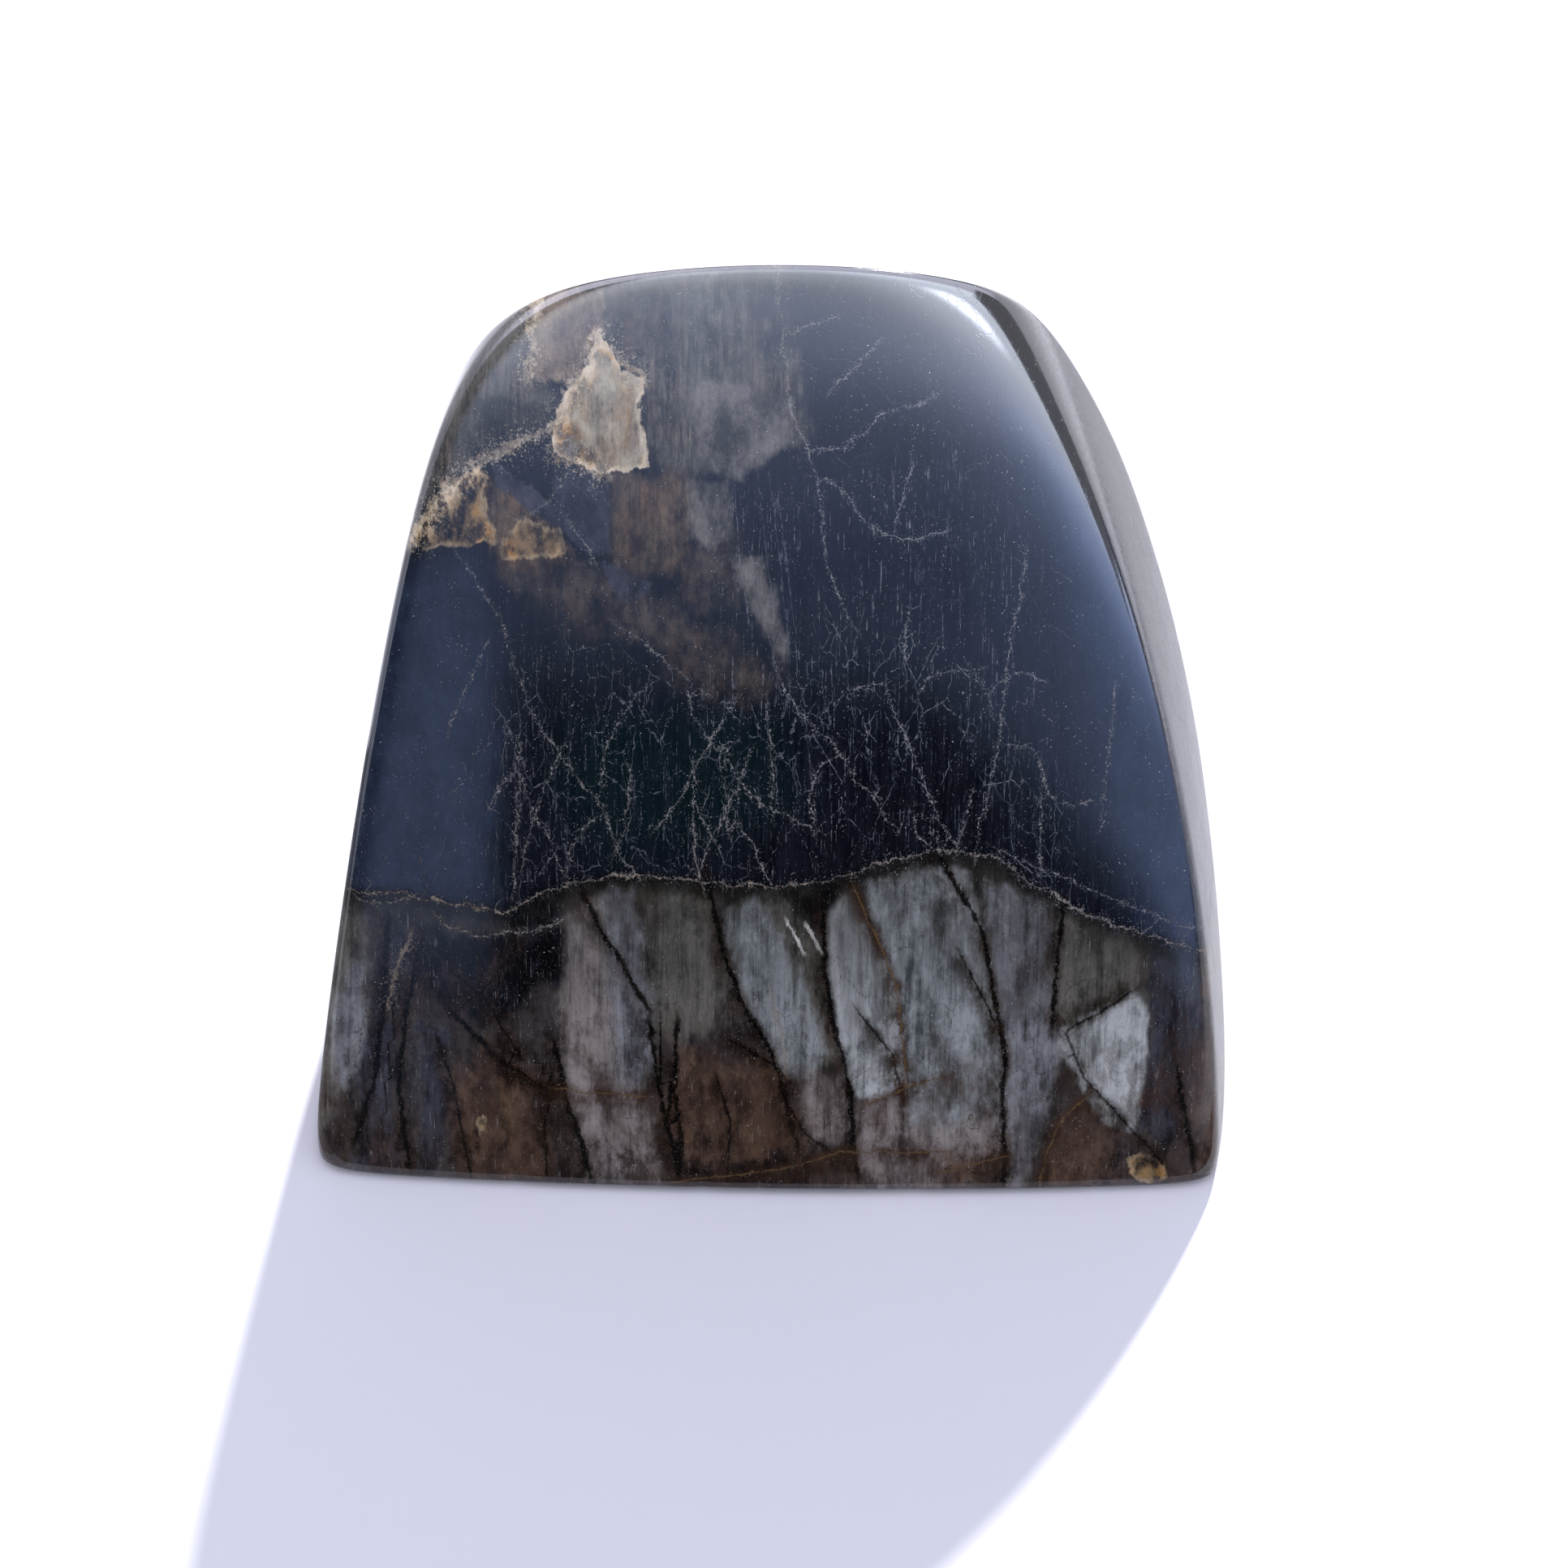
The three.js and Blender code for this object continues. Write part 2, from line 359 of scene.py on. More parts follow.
def stoneBlank(name):
    # a closed tube of rings, 1 across and 1 high, that the tree above grinds down
    angles = spokeAngles()
    circle = np.stack([np.cos(angles), np.sin(angles)], -1)
    height = cadHigh.z * metre
    heights = 1 - (1 - np.arange(1, stone["rings"]) / stone["rings"]) ** stone["ringCrowding"]
    heights = heights[heights * height > stone["lowestRing"]]
    heights = np.concatenate([[stone["sawnEdge"] / height], heights])
    rows = [(share, 0.0) for share in stone["baseRings"]] + [(1.0, z) for z in heights]
    points = [(0.0, 0.0, 0.0)]
    for radius, z in rows:
        points += [(x * radius, y * radius, z) for x, y in circle]
    points.append((0.0, 0.0, 1.0))
    count = len(angles)
    faces = []
    for column in range(count):
        after = (column + 1) % count
        faces.append((0, 1 + after, 1 + column))
        for row in range(len(rows) - 1):
            start = 1 + row * count
            faces.append((start + column, start + after, start + count + after, start + count + column))
        last = 1 + (len(rows) - 1) * count
        faces.append((last + column, last + after, len(points) - 1))
    mesh = bpy.data.meshes.new(name)
    mesh.from_pydata(points, [], faces)
    return mesh


def grindStone(material):
    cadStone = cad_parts["stone"]
    cadPoints = np.array([vertex.co for vertex in cadStone.data.vertices]) * metre
    axisShift = np.array(stone["axisShift"])
    summit = cadPoints[cadPoints[:, 2].argmax()] - axisShift
    piece = bpy.data.objects.new("polishedStone", stoneBlank("polishedStone"))
    bpy.context.scene.collection.objects.link(piece)
    modifier = piece.modifiers.new("grindStone", "NODES")
    modifier.node_group = grindStoneTree()
    values = {
        "Height": float(summit[2]), "Spine Foot": stone["spineFoot"], "Summit": tuple(map(float, summit)),
        "Farthest": float(stone["farthest"]), "Sawn Edge": stone["sawnEdge"],
        "Foot Ratio": stone["footRatio"], "Crest Ratio": stone["crestRatio"],
        "Ripple Depth": stone["rippleDepth"], "Ripple Size": float(stone["rippleSize"]),
        "Chip Depth": stone["chipDepth"], "Chip Size": stone["chipSize"],
        "Seed": stone["seed"], "Material": material,
    }
    for item in modifier.node_group.interface.items_tree:
        if item.item_type == "SOCKET" and item.in_out == "INPUT" and item.name in values:
            modifier[item.identifier] = values[item.name]
    graph = bpy.context.evaluated_depsgraph_get()
    mesh = bpy.data.meshes.new_from_object(piece.evaluated_get(graph))
    piece.modifiers.remove(modifier)
    piece.data = mesh
    shift = axisShift / metre
    points = np.zeros(len(mesh.vertices) * 3)
    mesh.vertices.foreach_get("co", points)
    points = points.reshape(-1, 3) + shift
    points = np.clip(points, np.array(cadLow), np.array(cadHigh))  # no chip or ripple leaves the box
    mesh.vertices.foreach_set("co", points.ravel())
    mesh.update()
    return piece, points


# The camera: 40 degrees above level, nearly square to the leaning front face, in millimetres

imageSize = 1932
camera = {
    "azimuth": 0,
    "elevation": 40,
    "roll": 0.44,
    "target": (0.14, 6.02, 20.0),
    "distance": 368,
    "lens": 85,
    "sensor": 36,
}


def cameraAxes():
    azimuth, elevation = math.radians(camera["azimuth"]), math.radians(camera["elevation"])
    back = np.array([math.sin(azimuth) * math.cos(elevation),
                     -math.cos(azimuth) * math.cos(elevation), math.sin(elevation)])
    level = np.array([math.cos(azimuth), math.sin(azimuth), 0.0])
    upright = np.cross(back, level)
    roll = math.radians(camera["roll"])
    right = level * math.cos(roll) + upright * math.sin(roll)
    up = upright * math.cos(roll) - level * math.sin(roll)
    eye = np.array(camera["target"]) + back * camera["distance"]
    return right, up, back, eye


def placeCamera():
    right, up, back, eye = cameraAxes()
    data = bpy.data.cameras.new("photoView")
    data.lens = camera["lens"]
    data.sensor_width = camera["sensor"]
    data.clip_start = 0.01
    data.clip_end = 20
    view = bpy.data.objects.new("photoView", data)
    turn = Matrix((right, up, back)).transposed().to_4x4()
    view.matrix_world = Matrix.Translation(Vector(eye / metre)) @ turn
    bpy.context.scene.collection.objects.link(view)
    bpy.context.scene.camera = view


def photoPixels(points):
    # where points of the stone, in millimetres, show in the picture
    right, up, back, eye = cameraAxes()
    ray = points - eye
    away = -(ray @ back)
    focal = camera["lens"] / camera["sensor"] * imageSize
    across = imageSize / 2 + focal * (ray @ right) / away
    down = imageSize / 2 - focal * (ray @ up) / away
    return np.stack([across, down], -1)


# Where the rock changes: cracks, blocks and stains run through the stone along one slanting grain,
# so each point of the surface is first carried along the grain to the front face

pixelsPerMillimetre = 12.4
grain = (0.30, -1.0, 0.12)
farAway = 1e9     # farther than any distance in the picture
tieBreak = 1e-4   # where two stretches of a path are as near, the one seen more squarely wins


def carriedToFront(points):
    facet = stone["facets"]["front"]
    lean = math.radians(facet["lean"])
    out = np.array([0, -math.cos(lean), math.sin(lean)])
    slope = np.array([0, math.sin(lean), math.cos(lean)])
    along = np.array(grain) / np.linalg.norm(grain)
    carried = points.copy()
    for _ in range(3):
        local = carried - np.array(stone["axisShift"]) - np.array([0, 0, stone["crownHeight"]])
        crown = (local[:, 0] ** 2 / facet["across"] + (local @ slope) ** 2 / facet["up"]) / 2
        reach = facetOffset(facet) - out[2] * stone["crownHeight"]
        gap = reach - local @ out - crown
        carried = carried + along * (gap / (along @ out))[:, None]
    return carried


def lineField(pixels, paths, taper, lateral):
    # signed distance to the nearest path in millimetres, and how strongly the path is there
    count = len(pixels)
    bestGap = np.full(count, farAway)
    side = np.full(count, 50.0)  # well off every path
    strength = np.zeros(count)
    for path in paths:
        corners = np.array(path, float)
        starts, steps = corners[:-1], corners[1:] - corners[:-1]
        lengths = np.linalg.norm(steps, axis=1)
        nearGap = np.full(count, farAway)
        nearSide = np.zeros(count)
        nearBeyond = np.zeros(count)
        for index, (start, step, length) in enumerate(zip(starts, steps, lengths)):
            away = pixels - start
            along = (away @ step) / length
            across = (away[:, 0] * step[1] - away[:, 1] * step[0]) / length
            beside = np.hypot(along - np.clip(along, 0, length), across)
            gap = beside - tieBreak * np.abs(across)
            beyond = np.zeros(count)  # how far past either end of the path
            if index == 0:
                beyond = np.maximum(beyond, -along)
            if index == len(lengths) - 1:
                beyond = np.maximum(beyond, along - length)
            magnitude = np.where(beyond > 0, np.abs(across), beside)
            closer = gap < nearGap
            nearGap = np.where(closer, gap, nearGap)
            nearSide = np.where(closer, np.sign(across) * magnitude, nearSide)
            nearBeyond = np.where(closer, beyond, nearBeyond)
        closer = nearGap < bestGap
        bestGap = np.where(closer, nearGap, bestGap)
        side = np.where(closer, nearSide / pixelsPerMillimetre, side)
        fade = np.clip(1 - nearBeyond / pixelsPerMillimetre / taper, 0, 1)
        reach = np.clip(1.5 - np.abs(nearGap) / pixelsPerMillimetre / lateral, 0, 1)
        strength = np.where(closer, fade * reach, strength)
    return side, strength


def patchField(pixels, outlines):
    # signed distance to the nearest outline in millimetres, positive inside
    best = np.full(len(pixels), -farAway)
    for outline in outlines:
        corners = np.array(outline, float)
        inside = np.zeros(len(pixels), bool)
        gap = np.full(len(pixels), farAway)
        for start, end in zip(corners, np.roll(corners, -1, axis=0)):
            step = end - start
            away = pixels - start
            share = np.clip((away @ step) / (step @ step), 0, 1)
            gap = np.minimum(gap, np.linalg.norm(away - share[:, None] * step, axis=1))
            crosses = (start[1] > pixels[:, 1]) != (end[1] > pixels[:, 1])
            rise = step[1] if step[1] else 1e-9
            inside ^= crosses & (pixels[:, 0] < start[0] + (pixels[:, 1] - start[1]) / rise * step[0])
        best = np.maximum(best, np.where(inside, gap, -gap) / pixelsPerMillimetre)
    return best


# Paths and outlines are pixels of the picture, read along what each one follows. Taper is how
# far a crack runs on past its ends, lateral how far to each side it is felt, and width half its line,
# all in millimetres. Ragged is how much it strays and broken how much of it is missing
cracks = {
    "mainCrack": {"taper": 9, "lateral": 6, "width": 0.085, "ragged": 1.1, "broken": 0.8, "paths": [
        [(380, 1098), (427, 1098), (499, 1102), (550, 1113), (600, 1120), (622, 1124), (650, 1110),
         (680, 1095), (730, 1083), (760, 1077), (800, 1082), (850, 1085), (900, 1091), (950, 1092),
         (1000, 1087), (1050, 1078), (1075, 1066), (1100, 1062), (1130, 1055), (1160, 1047), (1190, 1050),
         (1220, 1055), (1245, 1067), (1262, 1086), (1290, 1099), (1324, 1119), (1373, 1141), (1406, 1149),
         (1443, 1161), (1496, 1182), (1560, 1200)]]},
    "strand": {"taper": 3, "lateral": 2, "width": 0.045, "ragged": 0.8, "broken": 0.9, "paths": [
        [(1240, 1052), (1275, 1068), (1310, 1080), (1345, 1098), (1385, 1112), (1430, 1132), (1480, 1148)]]},
    "lowerBranch": {"taper": 2, "lateral": 2, "width": 0.06, "ragged": 0.8, "broken": 0.9, "paths": [
        [(540, 1130), (562, 1146), (600, 1153), (628, 1147), (662, 1147), (695, 1132)],
        [(430, 1100), (445, 1110), (470, 1112), (500, 1109)]]},
    "fallingCracks": {"taper": 2, "lateral": 1.6, "width": 0.055, "ragged": 0.8, "broken": 0.9, "paths": [
        [(570, 690), (600, 735), (617, 759), (627, 805), (640, 838), (652, 870), (672, 905), (697, 940),
         (718, 966), (738, 988), (752, 1020), (764, 1055), (780, 1075)],
        [(640, 955), (652, 985), (660, 1012), (672, 1022), (680, 1045), (690, 1070)],
        [(848, 850), (852, 880), (864, 900), (880, 917), (890, 950), (896, 985), (897, 1020)],
        [(895, 925), (905, 955), (920, 975), (935, 988), (950, 998), (985, 1012), (1005, 1022)],
        [(900, 1000), (915, 1022), (930, 1045), (940, 1070), (950, 1088)],
        [(862, 1000), (875, 1025), (884, 1045)],
        [(965, 845), (980, 870), (997, 890), (1007, 905), (1025, 915), (1043, 938), (1055, 962), (1075, 980),
         (1086, 1000), (1100, 1018)],
        [(1010, 590), (1030, 596), (1043, 610), (1063, 639), (1080, 659), (1100, 662)],
        [(1100, 868), (1105, 885), (1115, 902), (1122, 925), (1130, 945), (1142, 970), (1150, 990),
         (1160, 1015), (1172, 1035)],
        [(1250, 918), (1265, 920), (1280, 930), (1286, 952), (1291, 972), (1302, 988), (1318, 992),
         (1335, 990)],
        [(1198, 826), (1208, 840), (1218, 855), (1222, 872)],
        [(1125, 1010), (1132, 1030), (1150, 1045)],
        [(700, 640), (720, 668), (732, 690)],
        [(760, 770), (790, 790), (815, 812), (850, 840), (868, 852)]]},
    "risingCracks": {"taper": 2, "lateral": 1.6, "width": 0.055, "ragged": 0.8, "broken": 0.9, "paths": [
        [(815, 1015), (828, 998), (845, 975), (852, 955), (862, 935), (875, 915), (886, 896), (900, 872)],
        [(645, 1060), (650, 1035), (660, 1010), (668, 985), (678, 955), (690, 930)],
        [(608, 985), (622, 965), (638, 948)],
        [(700, 1075), (702, 1050), (715, 1030), (722, 1015), (736, 1008)],
        [(866, 1062), (873, 1035), (886, 1018), (896, 1000), (902, 985), (912, 965), (922, 935)],
        [(738, 980), (742, 950), (750, 915), (762, 890), (780, 865), (800, 845)],
        [(556, 895), (565, 868), (580, 838), (597, 800)],
        [(1003, 1015), (998, 990), (1001, 965), (1010, 945), (1026, 934)],
        [(1180, 1045), (1188, 1010), (1196, 985)],
        [(1222, 850), (1237, 838), (1262, 826), (1280, 836)],
        [(978, 410), (996, 402), (1020, 394)],
        [(1006, 556), (1043, 549), (1071, 529), (1084, 512), (1108, 502), (1133, 500), (1147, 491)],
        [(1030, 476), (1063, 443), (1078, 428)],
        [(1078, 650), (1098, 662), (1129, 664), (1157, 656)],
        [(1062, 848), (1085, 842)],
        [(1135, 852), (1143, 835), (1157, 829), (1185, 828), (1198, 826)],
        [(690, 600), (668, 622), (640, 640)]]},
    "uprightCracks": {"taper": 3, "lateral": 1.6, "width": 0.05, "ragged": 0.8, "broken": 0.9, "paths": [
        [(957, 330), (962, 379), (969, 458), (977, 510), (993, 549), (1006, 586), (1011, 618), (1018, 688),
         (1037, 745), (1052, 770)],
        [(1262, 690), (1256, 735), (1244, 790), (1240, 835), (1235, 880), (1228, 930), (1218, 970),
         (1208, 1010), (1203, 1045)],
        [(1122, 578), (1112, 618), (1104, 645)],
        [(1120, 752), (1117, 790), (1117, 822)],
        [(946, 880), (950, 940), (952, 1000)],
        [(640, 905), (640, 960), (636, 1040), (632, 1090)],
        [(855, 945), (854, 1010), (857, 1060), (864, 1085)],
        [(1283, 985), (1283, 1030), (1283, 1068)],
        [(775, 940), (776, 990), (770, 1020), (760, 1045)],
        [(1372, 860), (1366, 930), (1358, 1010)]]},
    "darkSeams": {"taper": 2, "lateral": 2.2, "width": 0.34, "ragged": 0.4, "broken": 0.1, "paths": [
        [(1158, 1058), (1186, 1104), (1206, 1135), (1217, 1178), (1223, 1218), (1231, 1259), (1239, 1308),
         (1235, 1349), (1238, 1427), (1235, 1475)],
        [(872, 1085), (880, 1125), (891, 1173), (914, 1236), (949, 1295), (968, 1352), (981, 1410)],
        [(1014, 1128), (1017, 1202), (1027, 1259), (1039, 1308), (1048, 1345), (1051, 1410), (1055, 1440)],
        [(684, 1290), (696, 1350), (716, 1405), (732, 1465)],
        [(722, 1108), (742, 1150), (767, 1188), (797, 1240)],
        [(478, 1140), (474, 1230), (462, 1330), (440, 1400)],
        [(835, 1262), (830, 1330), (840, 1410), (836, 1450)],
        [(1310, 1120), (1303, 1180), (1296, 1262)],
        [(1452, 1325), (1462, 1380), (1470, 1428)],
        [(520, 1160), (500, 1250), (492, 1340), (505, 1440)],
        [(560, 1250), (610, 1300), (652, 1335), (682, 1345)],
        [(800, 1265), (812, 1340), (838, 1450)]]},
    "slantingSeams": {"taper": 2, "lateral": 2.0, "width": 0.16, "ragged": 0.35, "broken": 0.3, "paths": [
        [(1185, 1180), (1208, 1222), (1228, 1265)],
        [(1390, 1225), (1349, 1252), (1312, 1270)],
        [(1312, 1270), (1337, 1330), (1386, 1382), (1430, 1430)],
        [(617, 1307), (657, 1331)],
        [(905, 1285), (950, 1310), (978, 1338)],
        [(885, 1335), (900, 1380), (896, 1450)],
        [(965, 1350), (990, 1395), (1025, 1420)],
        [(680, 1350), (670, 1390), (675, 1450)],
        [(540, 1285), (560, 1340), (572, 1410), (582, 1455)],
        [(640, 1165), (600, 1215), (570, 1240)],
        [(560, 1200), (600, 1235), (640, 1300)],
        [(1060, 1250), (1100, 1300), (1110, 1345)]]},
    "brownSeams": {"taper": 2, "lateral": 1.8, "width": 0.11, "ragged": 0.5, "broken": 0.35, "paths": [
        [(1076, 1357), (1112, 1343), (1149, 1331)],
        [(840, 1455), (900, 1449), (982, 1437), (1035, 1419), (1104, 1420), (1161, 1418)],
        [(1165, 1443), (1231, 1427)],
        [(696, 1343), (724, 1346), (791, 1351)],
        [(1280, 1465), (1292, 1412), (1308, 1380), (1333, 1357)],
        [(1052, 1092), (1070, 1135), (1090, 1175), (1104, 1215), (1110, 1262), (1117, 1335)]]},
    "flakeEdges": {"taper": 1.5, "lateral": 2.0, "width": 0.5, "ragged": 1.8, "broken": 0.75, "paths": [
        [(508, 670), (518, 652), (538, 616), (558, 593), (595, 565), (640, 546), (680, 529), (690, 505),
         (712, 470), (722, 448), (738, 411)],
        [(668, 362), (657, 392), (655, 430), (651, 464)],
        [(738, 411), (755, 432), (776, 458), (791, 468)],
        [(684, 560), (720, 575), (742, 586)]]},
    "scratches": {"taper": 3, "lateral": 1.5, "width": 0.05, "ragged": 0.15, "broken": 0.85, "paths": [
        [(934, 590), (944, 680), (956, 770)],
        [(972, 800), (962, 700), (949, 596)],
        [(960, 620), (974, 730), (988, 846)],
        [(962, 856), (946, 780), (926, 690)],
        [(905, 600), (912, 690), (922, 760)],
        [(1004, 1000), (994, 900), (984, 780)]]},
    "slivers": {"taper": 0.5, "lateral": 2.0, "width": 0.22, "ragged": 0.06, "broken": 0.1, "paths": [
        [(970, 1136), (980, 1154), (990, 1174)],
        [(1011, 1171), (1002, 1154), (994, 1140)]]},
    "paleSeams": {"taper": 1.2, "lateral": 1.5, "width": 0.22, "ragged": 0.5, "broken": 0.55, "paths": [
        [(950, 1225), (962, 1270), (968, 1318)],
        [(505, 1155), (490, 1190), (478, 1240)],
        [(601, 557), (625, 549), (657, 537), (680, 529), (692, 521)]]},
}

patches = {
    "honey": [
        [(738, 411), (722, 450), (712, 470), (690, 498), (686, 525), (677, 541), (682, 557), (720, 573),
         (740, 585), (756, 577), (801, 579), (799, 557), (789, 521), (791, 466), (764, 454), (752, 430)]],
    "golden": [
        [(507, 668), (518, 652), (538, 616), (558, 593), (588, 576), (602, 590), (598, 634), (612, 668),
         (562, 672), (526, 674)],
        [(618, 672), (640, 640), (690, 652), (694, 686), (652, 690), (622, 688)],
        [(686, 505), (700, 512), (724, 545), (742, 578), (715, 572), (684, 556), (680, 535)],
        [(1388, 1427), (1402, 1420), (1431, 1431), (1435, 1447), (1422, 1463), (1394, 1451)],
        [(586, 1378), (602, 1376), (606, 1390), (592, 1396)]],
    "tanBlock": [
        [(662, 364), (657, 392), (655, 430), (651, 466), (698, 472), (714, 464), (730, 425), (744, 398),
         (742, 362), (704, 352)]],
    "greyBlock": [
        [(854, 470), (934, 478), (946, 556), (934, 575), (920, 592), (854, 585)],
        [(940, 486), (975, 494), (982, 552), (948, 562)],
        [(850, 592), (896, 590), (898, 660), (876, 676), (850, 664)],
        [(905, 690), (935, 690), (975, 790), (975, 818), (950, 800), (920, 740)]],
    "taupe": [
        [(754, 580), (800, 588), (850, 578), (853, 640), (846, 700), (802, 714), (762, 702), (752, 640)],
        [(606, 600), (640, 600), (680, 640), (694, 692), (660, 706), (620, 690), (604, 656)]],
    "haze": [
        [(617, 695), (657, 700), (740, 705), (830, 745), (900, 790), (965, 838), (933, 853), (870, 853),
         (831, 822), (791, 778), (736, 770), (696, 755), (657, 743)],
        [(846, 680), (900, 660), (905, 740), (860, 760)],
        [(690, 345), (800, 335), (860, 335), (840, 420), (780, 440), (745, 400)]],
    "clouded": [
        [(680, 355), (640, 380), (600, 412), (575, 448), (552, 495), (533, 555), (515, 630), (545, 605),
         (590, 560), (680, 528), (690, 498), (655, 466), (657, 430)],
        [(735, 340), (800, 330), (960, 322), (985, 420), (990, 540), (930, 560), (850, 590), (800, 575),
         (793, 470), (752, 425), (728, 400)]],
    # a painted reflection of the sky: a blue-grey sheen at the left and right of the face
    "paintedSheen": [
        [(440, 700), (590, 690), (606, 800), (602, 1100), (400, 1100)],
        [(1310, 600), (1370, 660), (1560, 1200), (1410, 1150), (1356, 1000)]],
    "striated": [
        [(880, 560), (1000, 600), (1180, 560), (1290, 700), (1300, 1060), (1200, 1040), (850, 1060),
         (840, 850), (880, 720)]],
    "navyFlake": [
        [(603, 563), (640, 590), (690, 628), (708, 660), (694, 656), (657, 632), (613, 600)],
        [(732, 685), (790, 715), (811, 716), (790, 735), (765, 740)],
        [(682, 560), (740, 586), (752, 600), (750, 680), (730, 690), (700, 660), (686, 610)]],
    "paleBlock": [
        [(1016, 1129), (1051, 1090), (1063, 1129), (1084, 1178), (1100, 1210), (1108, 1259), (1116, 1335),
         (1084, 1353), (1053, 1357), (1040, 1308), (1028, 1259), (1019, 1202)],
        [(1304, 1270), (1349, 1246), (1398, 1218), (1416, 1251), (1412, 1308), (1396, 1394), (1361, 1384),
         (1332, 1342), (1314, 1308)],
        [(1160, 1066), (1195, 1072), (1200, 1105), (1206, 1128), (1188, 1104)]],
    "lightBlock": [
        [(1066, 1085), (1160, 1064), (1205, 1135), (1222, 1220), (1236, 1310), (1232, 1425), (1115, 1420),
         (1112, 1345), (1118, 1330), (1108, 1250), (1085, 1175)],
        [(893, 1130), (930, 1108), (962, 1150), (985, 1200), (1010, 1260), (1022, 1300), (1000, 1330),
         (970, 1330), (950, 1290), (916, 1232)]],
    "mauveBlock": [
        [(1056, 1350), (1112, 1343), (1118, 1390), (1232, 1370), (1236, 1475), (1050, 1475)],
        [(692, 1136), (740, 1100), (752, 1230), (762, 1330), (792, 1340), (804, 1400), (820, 1475),
         (735, 1475), (712, 1405), (696, 1325)],
        [(985, 1320), (1040, 1325), (1052, 1412), (1035, 1425), (1000, 1432)]],
    "oliveBlock": [
        [(1300, 1110), (1345, 1130), (1412, 1165), (1412, 1240), (1390, 1230), (1350, 1254), (1318, 1268),
         (1298, 1240), (1296, 1170)],
        [(940, 1098), (1000, 1092), (1014, 1150), (1020, 1220), (1034, 1300), (1020, 1330), (1000, 1290),
         (970, 1190)],
        [(790, 1100), (872, 1092), (884, 1170), (905, 1230), (880, 1270), (830, 1290), (800, 1260)],
        [(400, 1130), (446, 1140), (452, 1200), (440, 1280), (424, 1340), (392, 1400)],
        [(1466, 1180), (1500, 1190), (1510, 1400), (1480, 1430), (1462, 1300)]],
    "slateBlock": [
        [(470, 1120), (520, 1150), (500, 1250), (490, 1340), (500, 1450), (430, 1450), (440, 1290),
         (466, 1200)],
        [(516, 1260), (552, 1270), (560, 1360), (552, 1450), (512, 1450)],
        [(1412, 1160), (1490, 1180), (1510, 1260), (1506, 1420), (1470, 1440), (1430, 1420), (1396, 1385),
         (1412, 1300)],
        [(1300, 1420), (1380, 1400), (1440, 1440), (1440, 1470), (1290, 1470)]],
    "dullBlock": [
        [(1210, 1080), (1262, 1100), (1302, 1112), (1296, 1262), (1308, 1300), (1290, 1360), (1262, 1465),
         (1240, 1465), (1242, 1300), (1222, 1190)],
        [(428, 1180), (458, 1186), (452, 1260), (438, 1316), (416, 1345), (410, 1260)],
        [(728, 1110), (752, 1092), (775, 1090), (792, 1130), (802, 1200), (804, 1300), (792, 1346),
         (750, 1340), (740, 1230)]],
    # near-black rock, deepened as painted shade beneath the main crack and low on the face
    "blackPaintedShade": [
        [(830, 1440), (900, 1430), (985, 1424), (1044, 1408), (1048, 1432), (985, 1462), (835, 1468)],
        [(498, 1132), (560, 1150), (640, 1150), (698, 1136), (692, 1212), (645, 1220), (624, 1268),
         (575, 1256), (545, 1232), (504, 1216)],
        [(965, 1100), (1045, 1086), (1016, 1128), (1016, 1190), (985, 1130)],
        [(620, 1120), (700, 1098), (684, 1140), (628, 1146)]],
    "brownStain": [
        [(560, 1310), (612, 1290), (665, 1330), (680, 1460), (575, 1460), (555, 1380)],
        [(840, 1290), (930, 1300), (978, 1345), (990, 1455), (850, 1460), (820, 1380)],
        [(1285, 1465), (1300, 1400), (1332, 1362), (1372, 1400), (1396, 1465)],
        [(1484, 1186), (1502, 1190), (1500, 1435), (1482, 1430)],
        [(1165, 1425), (1235, 1415), (1235, 1470), (1165, 1470)]],
    "crackled": [
        [(600, 800), (700, 790), (800, 820), (900, 850), (1000, 760), (1060, 740), (1130, 740), (1200, 820),
         (1290, 830), (1330, 1000), (1300, 1095), (1200, 1050), (1100, 1060), (1000, 1085), (760, 1075),
         (620, 1122), (450, 1100), (450, 1000), (560, 980)]],
    "teal": [
        [(700, 890), (860, 870), (960, 890), (980, 980), (880, 1040), (740, 1050), (690, 980)]],
}


def markStone(piece, points):
    pixels = photoPixels(carriedToFront(points * metre))
    fields = {}
    for name, crack in cracks.items():
        side, strength = lineField(pixels, crack["paths"], crack["taper"], crack["lateral"])
        fields[name + "Side"] = side
        fields[name + "Near"] = strength
    for name, outlines in patches.items():
        fields[name] = patchField(pixels, outlines)
    normals = np.zeros(len(points) * 3)
    piece.data.vertices.foreach_get("normal", normals)
    fields["turnedRight"] = normals.reshape(-1, 3)[:, 0]
    for name, values in fields.items():
        attribute = piece.data.attributes.new(name, "FLOAT", "POINT")
        attribute.data.foreach_set("value", values.astype(np.float32))
    print("rock marked:", len(fields), "fields")


# Labradorite: dark polished feldspar with cloudy patches above a healed crack and blocks below it

def tone(red, green, blue):
    # a screen colour, 0 to 255, as Blender's own light value
    parts = [value / 255 for value in (red, green, blue)]
    return tuple(p / 12.92 if p < 0.04045 else ((p + 0.055) / 1.055) ** 2.4 for p in parts) + (1.0,)


def mixTone(tree, factor, first, second):
    return addNode(tree, "ShaderNodeMix", {0: factor, 6: first, 7: second}, data_type="RGBA").outputs[2]


def noiseAt(tree, vector, size, detail=3.0, roughness=0.55, distortion=0.0):
    # size is one feature in millimetres, or one per direction
    spread = size if isinstance(size, tuple) else (size, size, size)
    return addNode(tree, "ShaderNodeTexNoise", {
        "Vector": vectorCalc(tree, "DIVIDE", vector, spread), "W": noiseSeed, "Scale": 1.0,
        "Detail": detail, "Roughness": roughness, "Distortion": distortion},
        noise_dimensions="4D").outputs[0]


def field(tree, name):
    return addNode(tree, "ShaderNodeAttribute", attribute_name=name).outputs["Fac"]


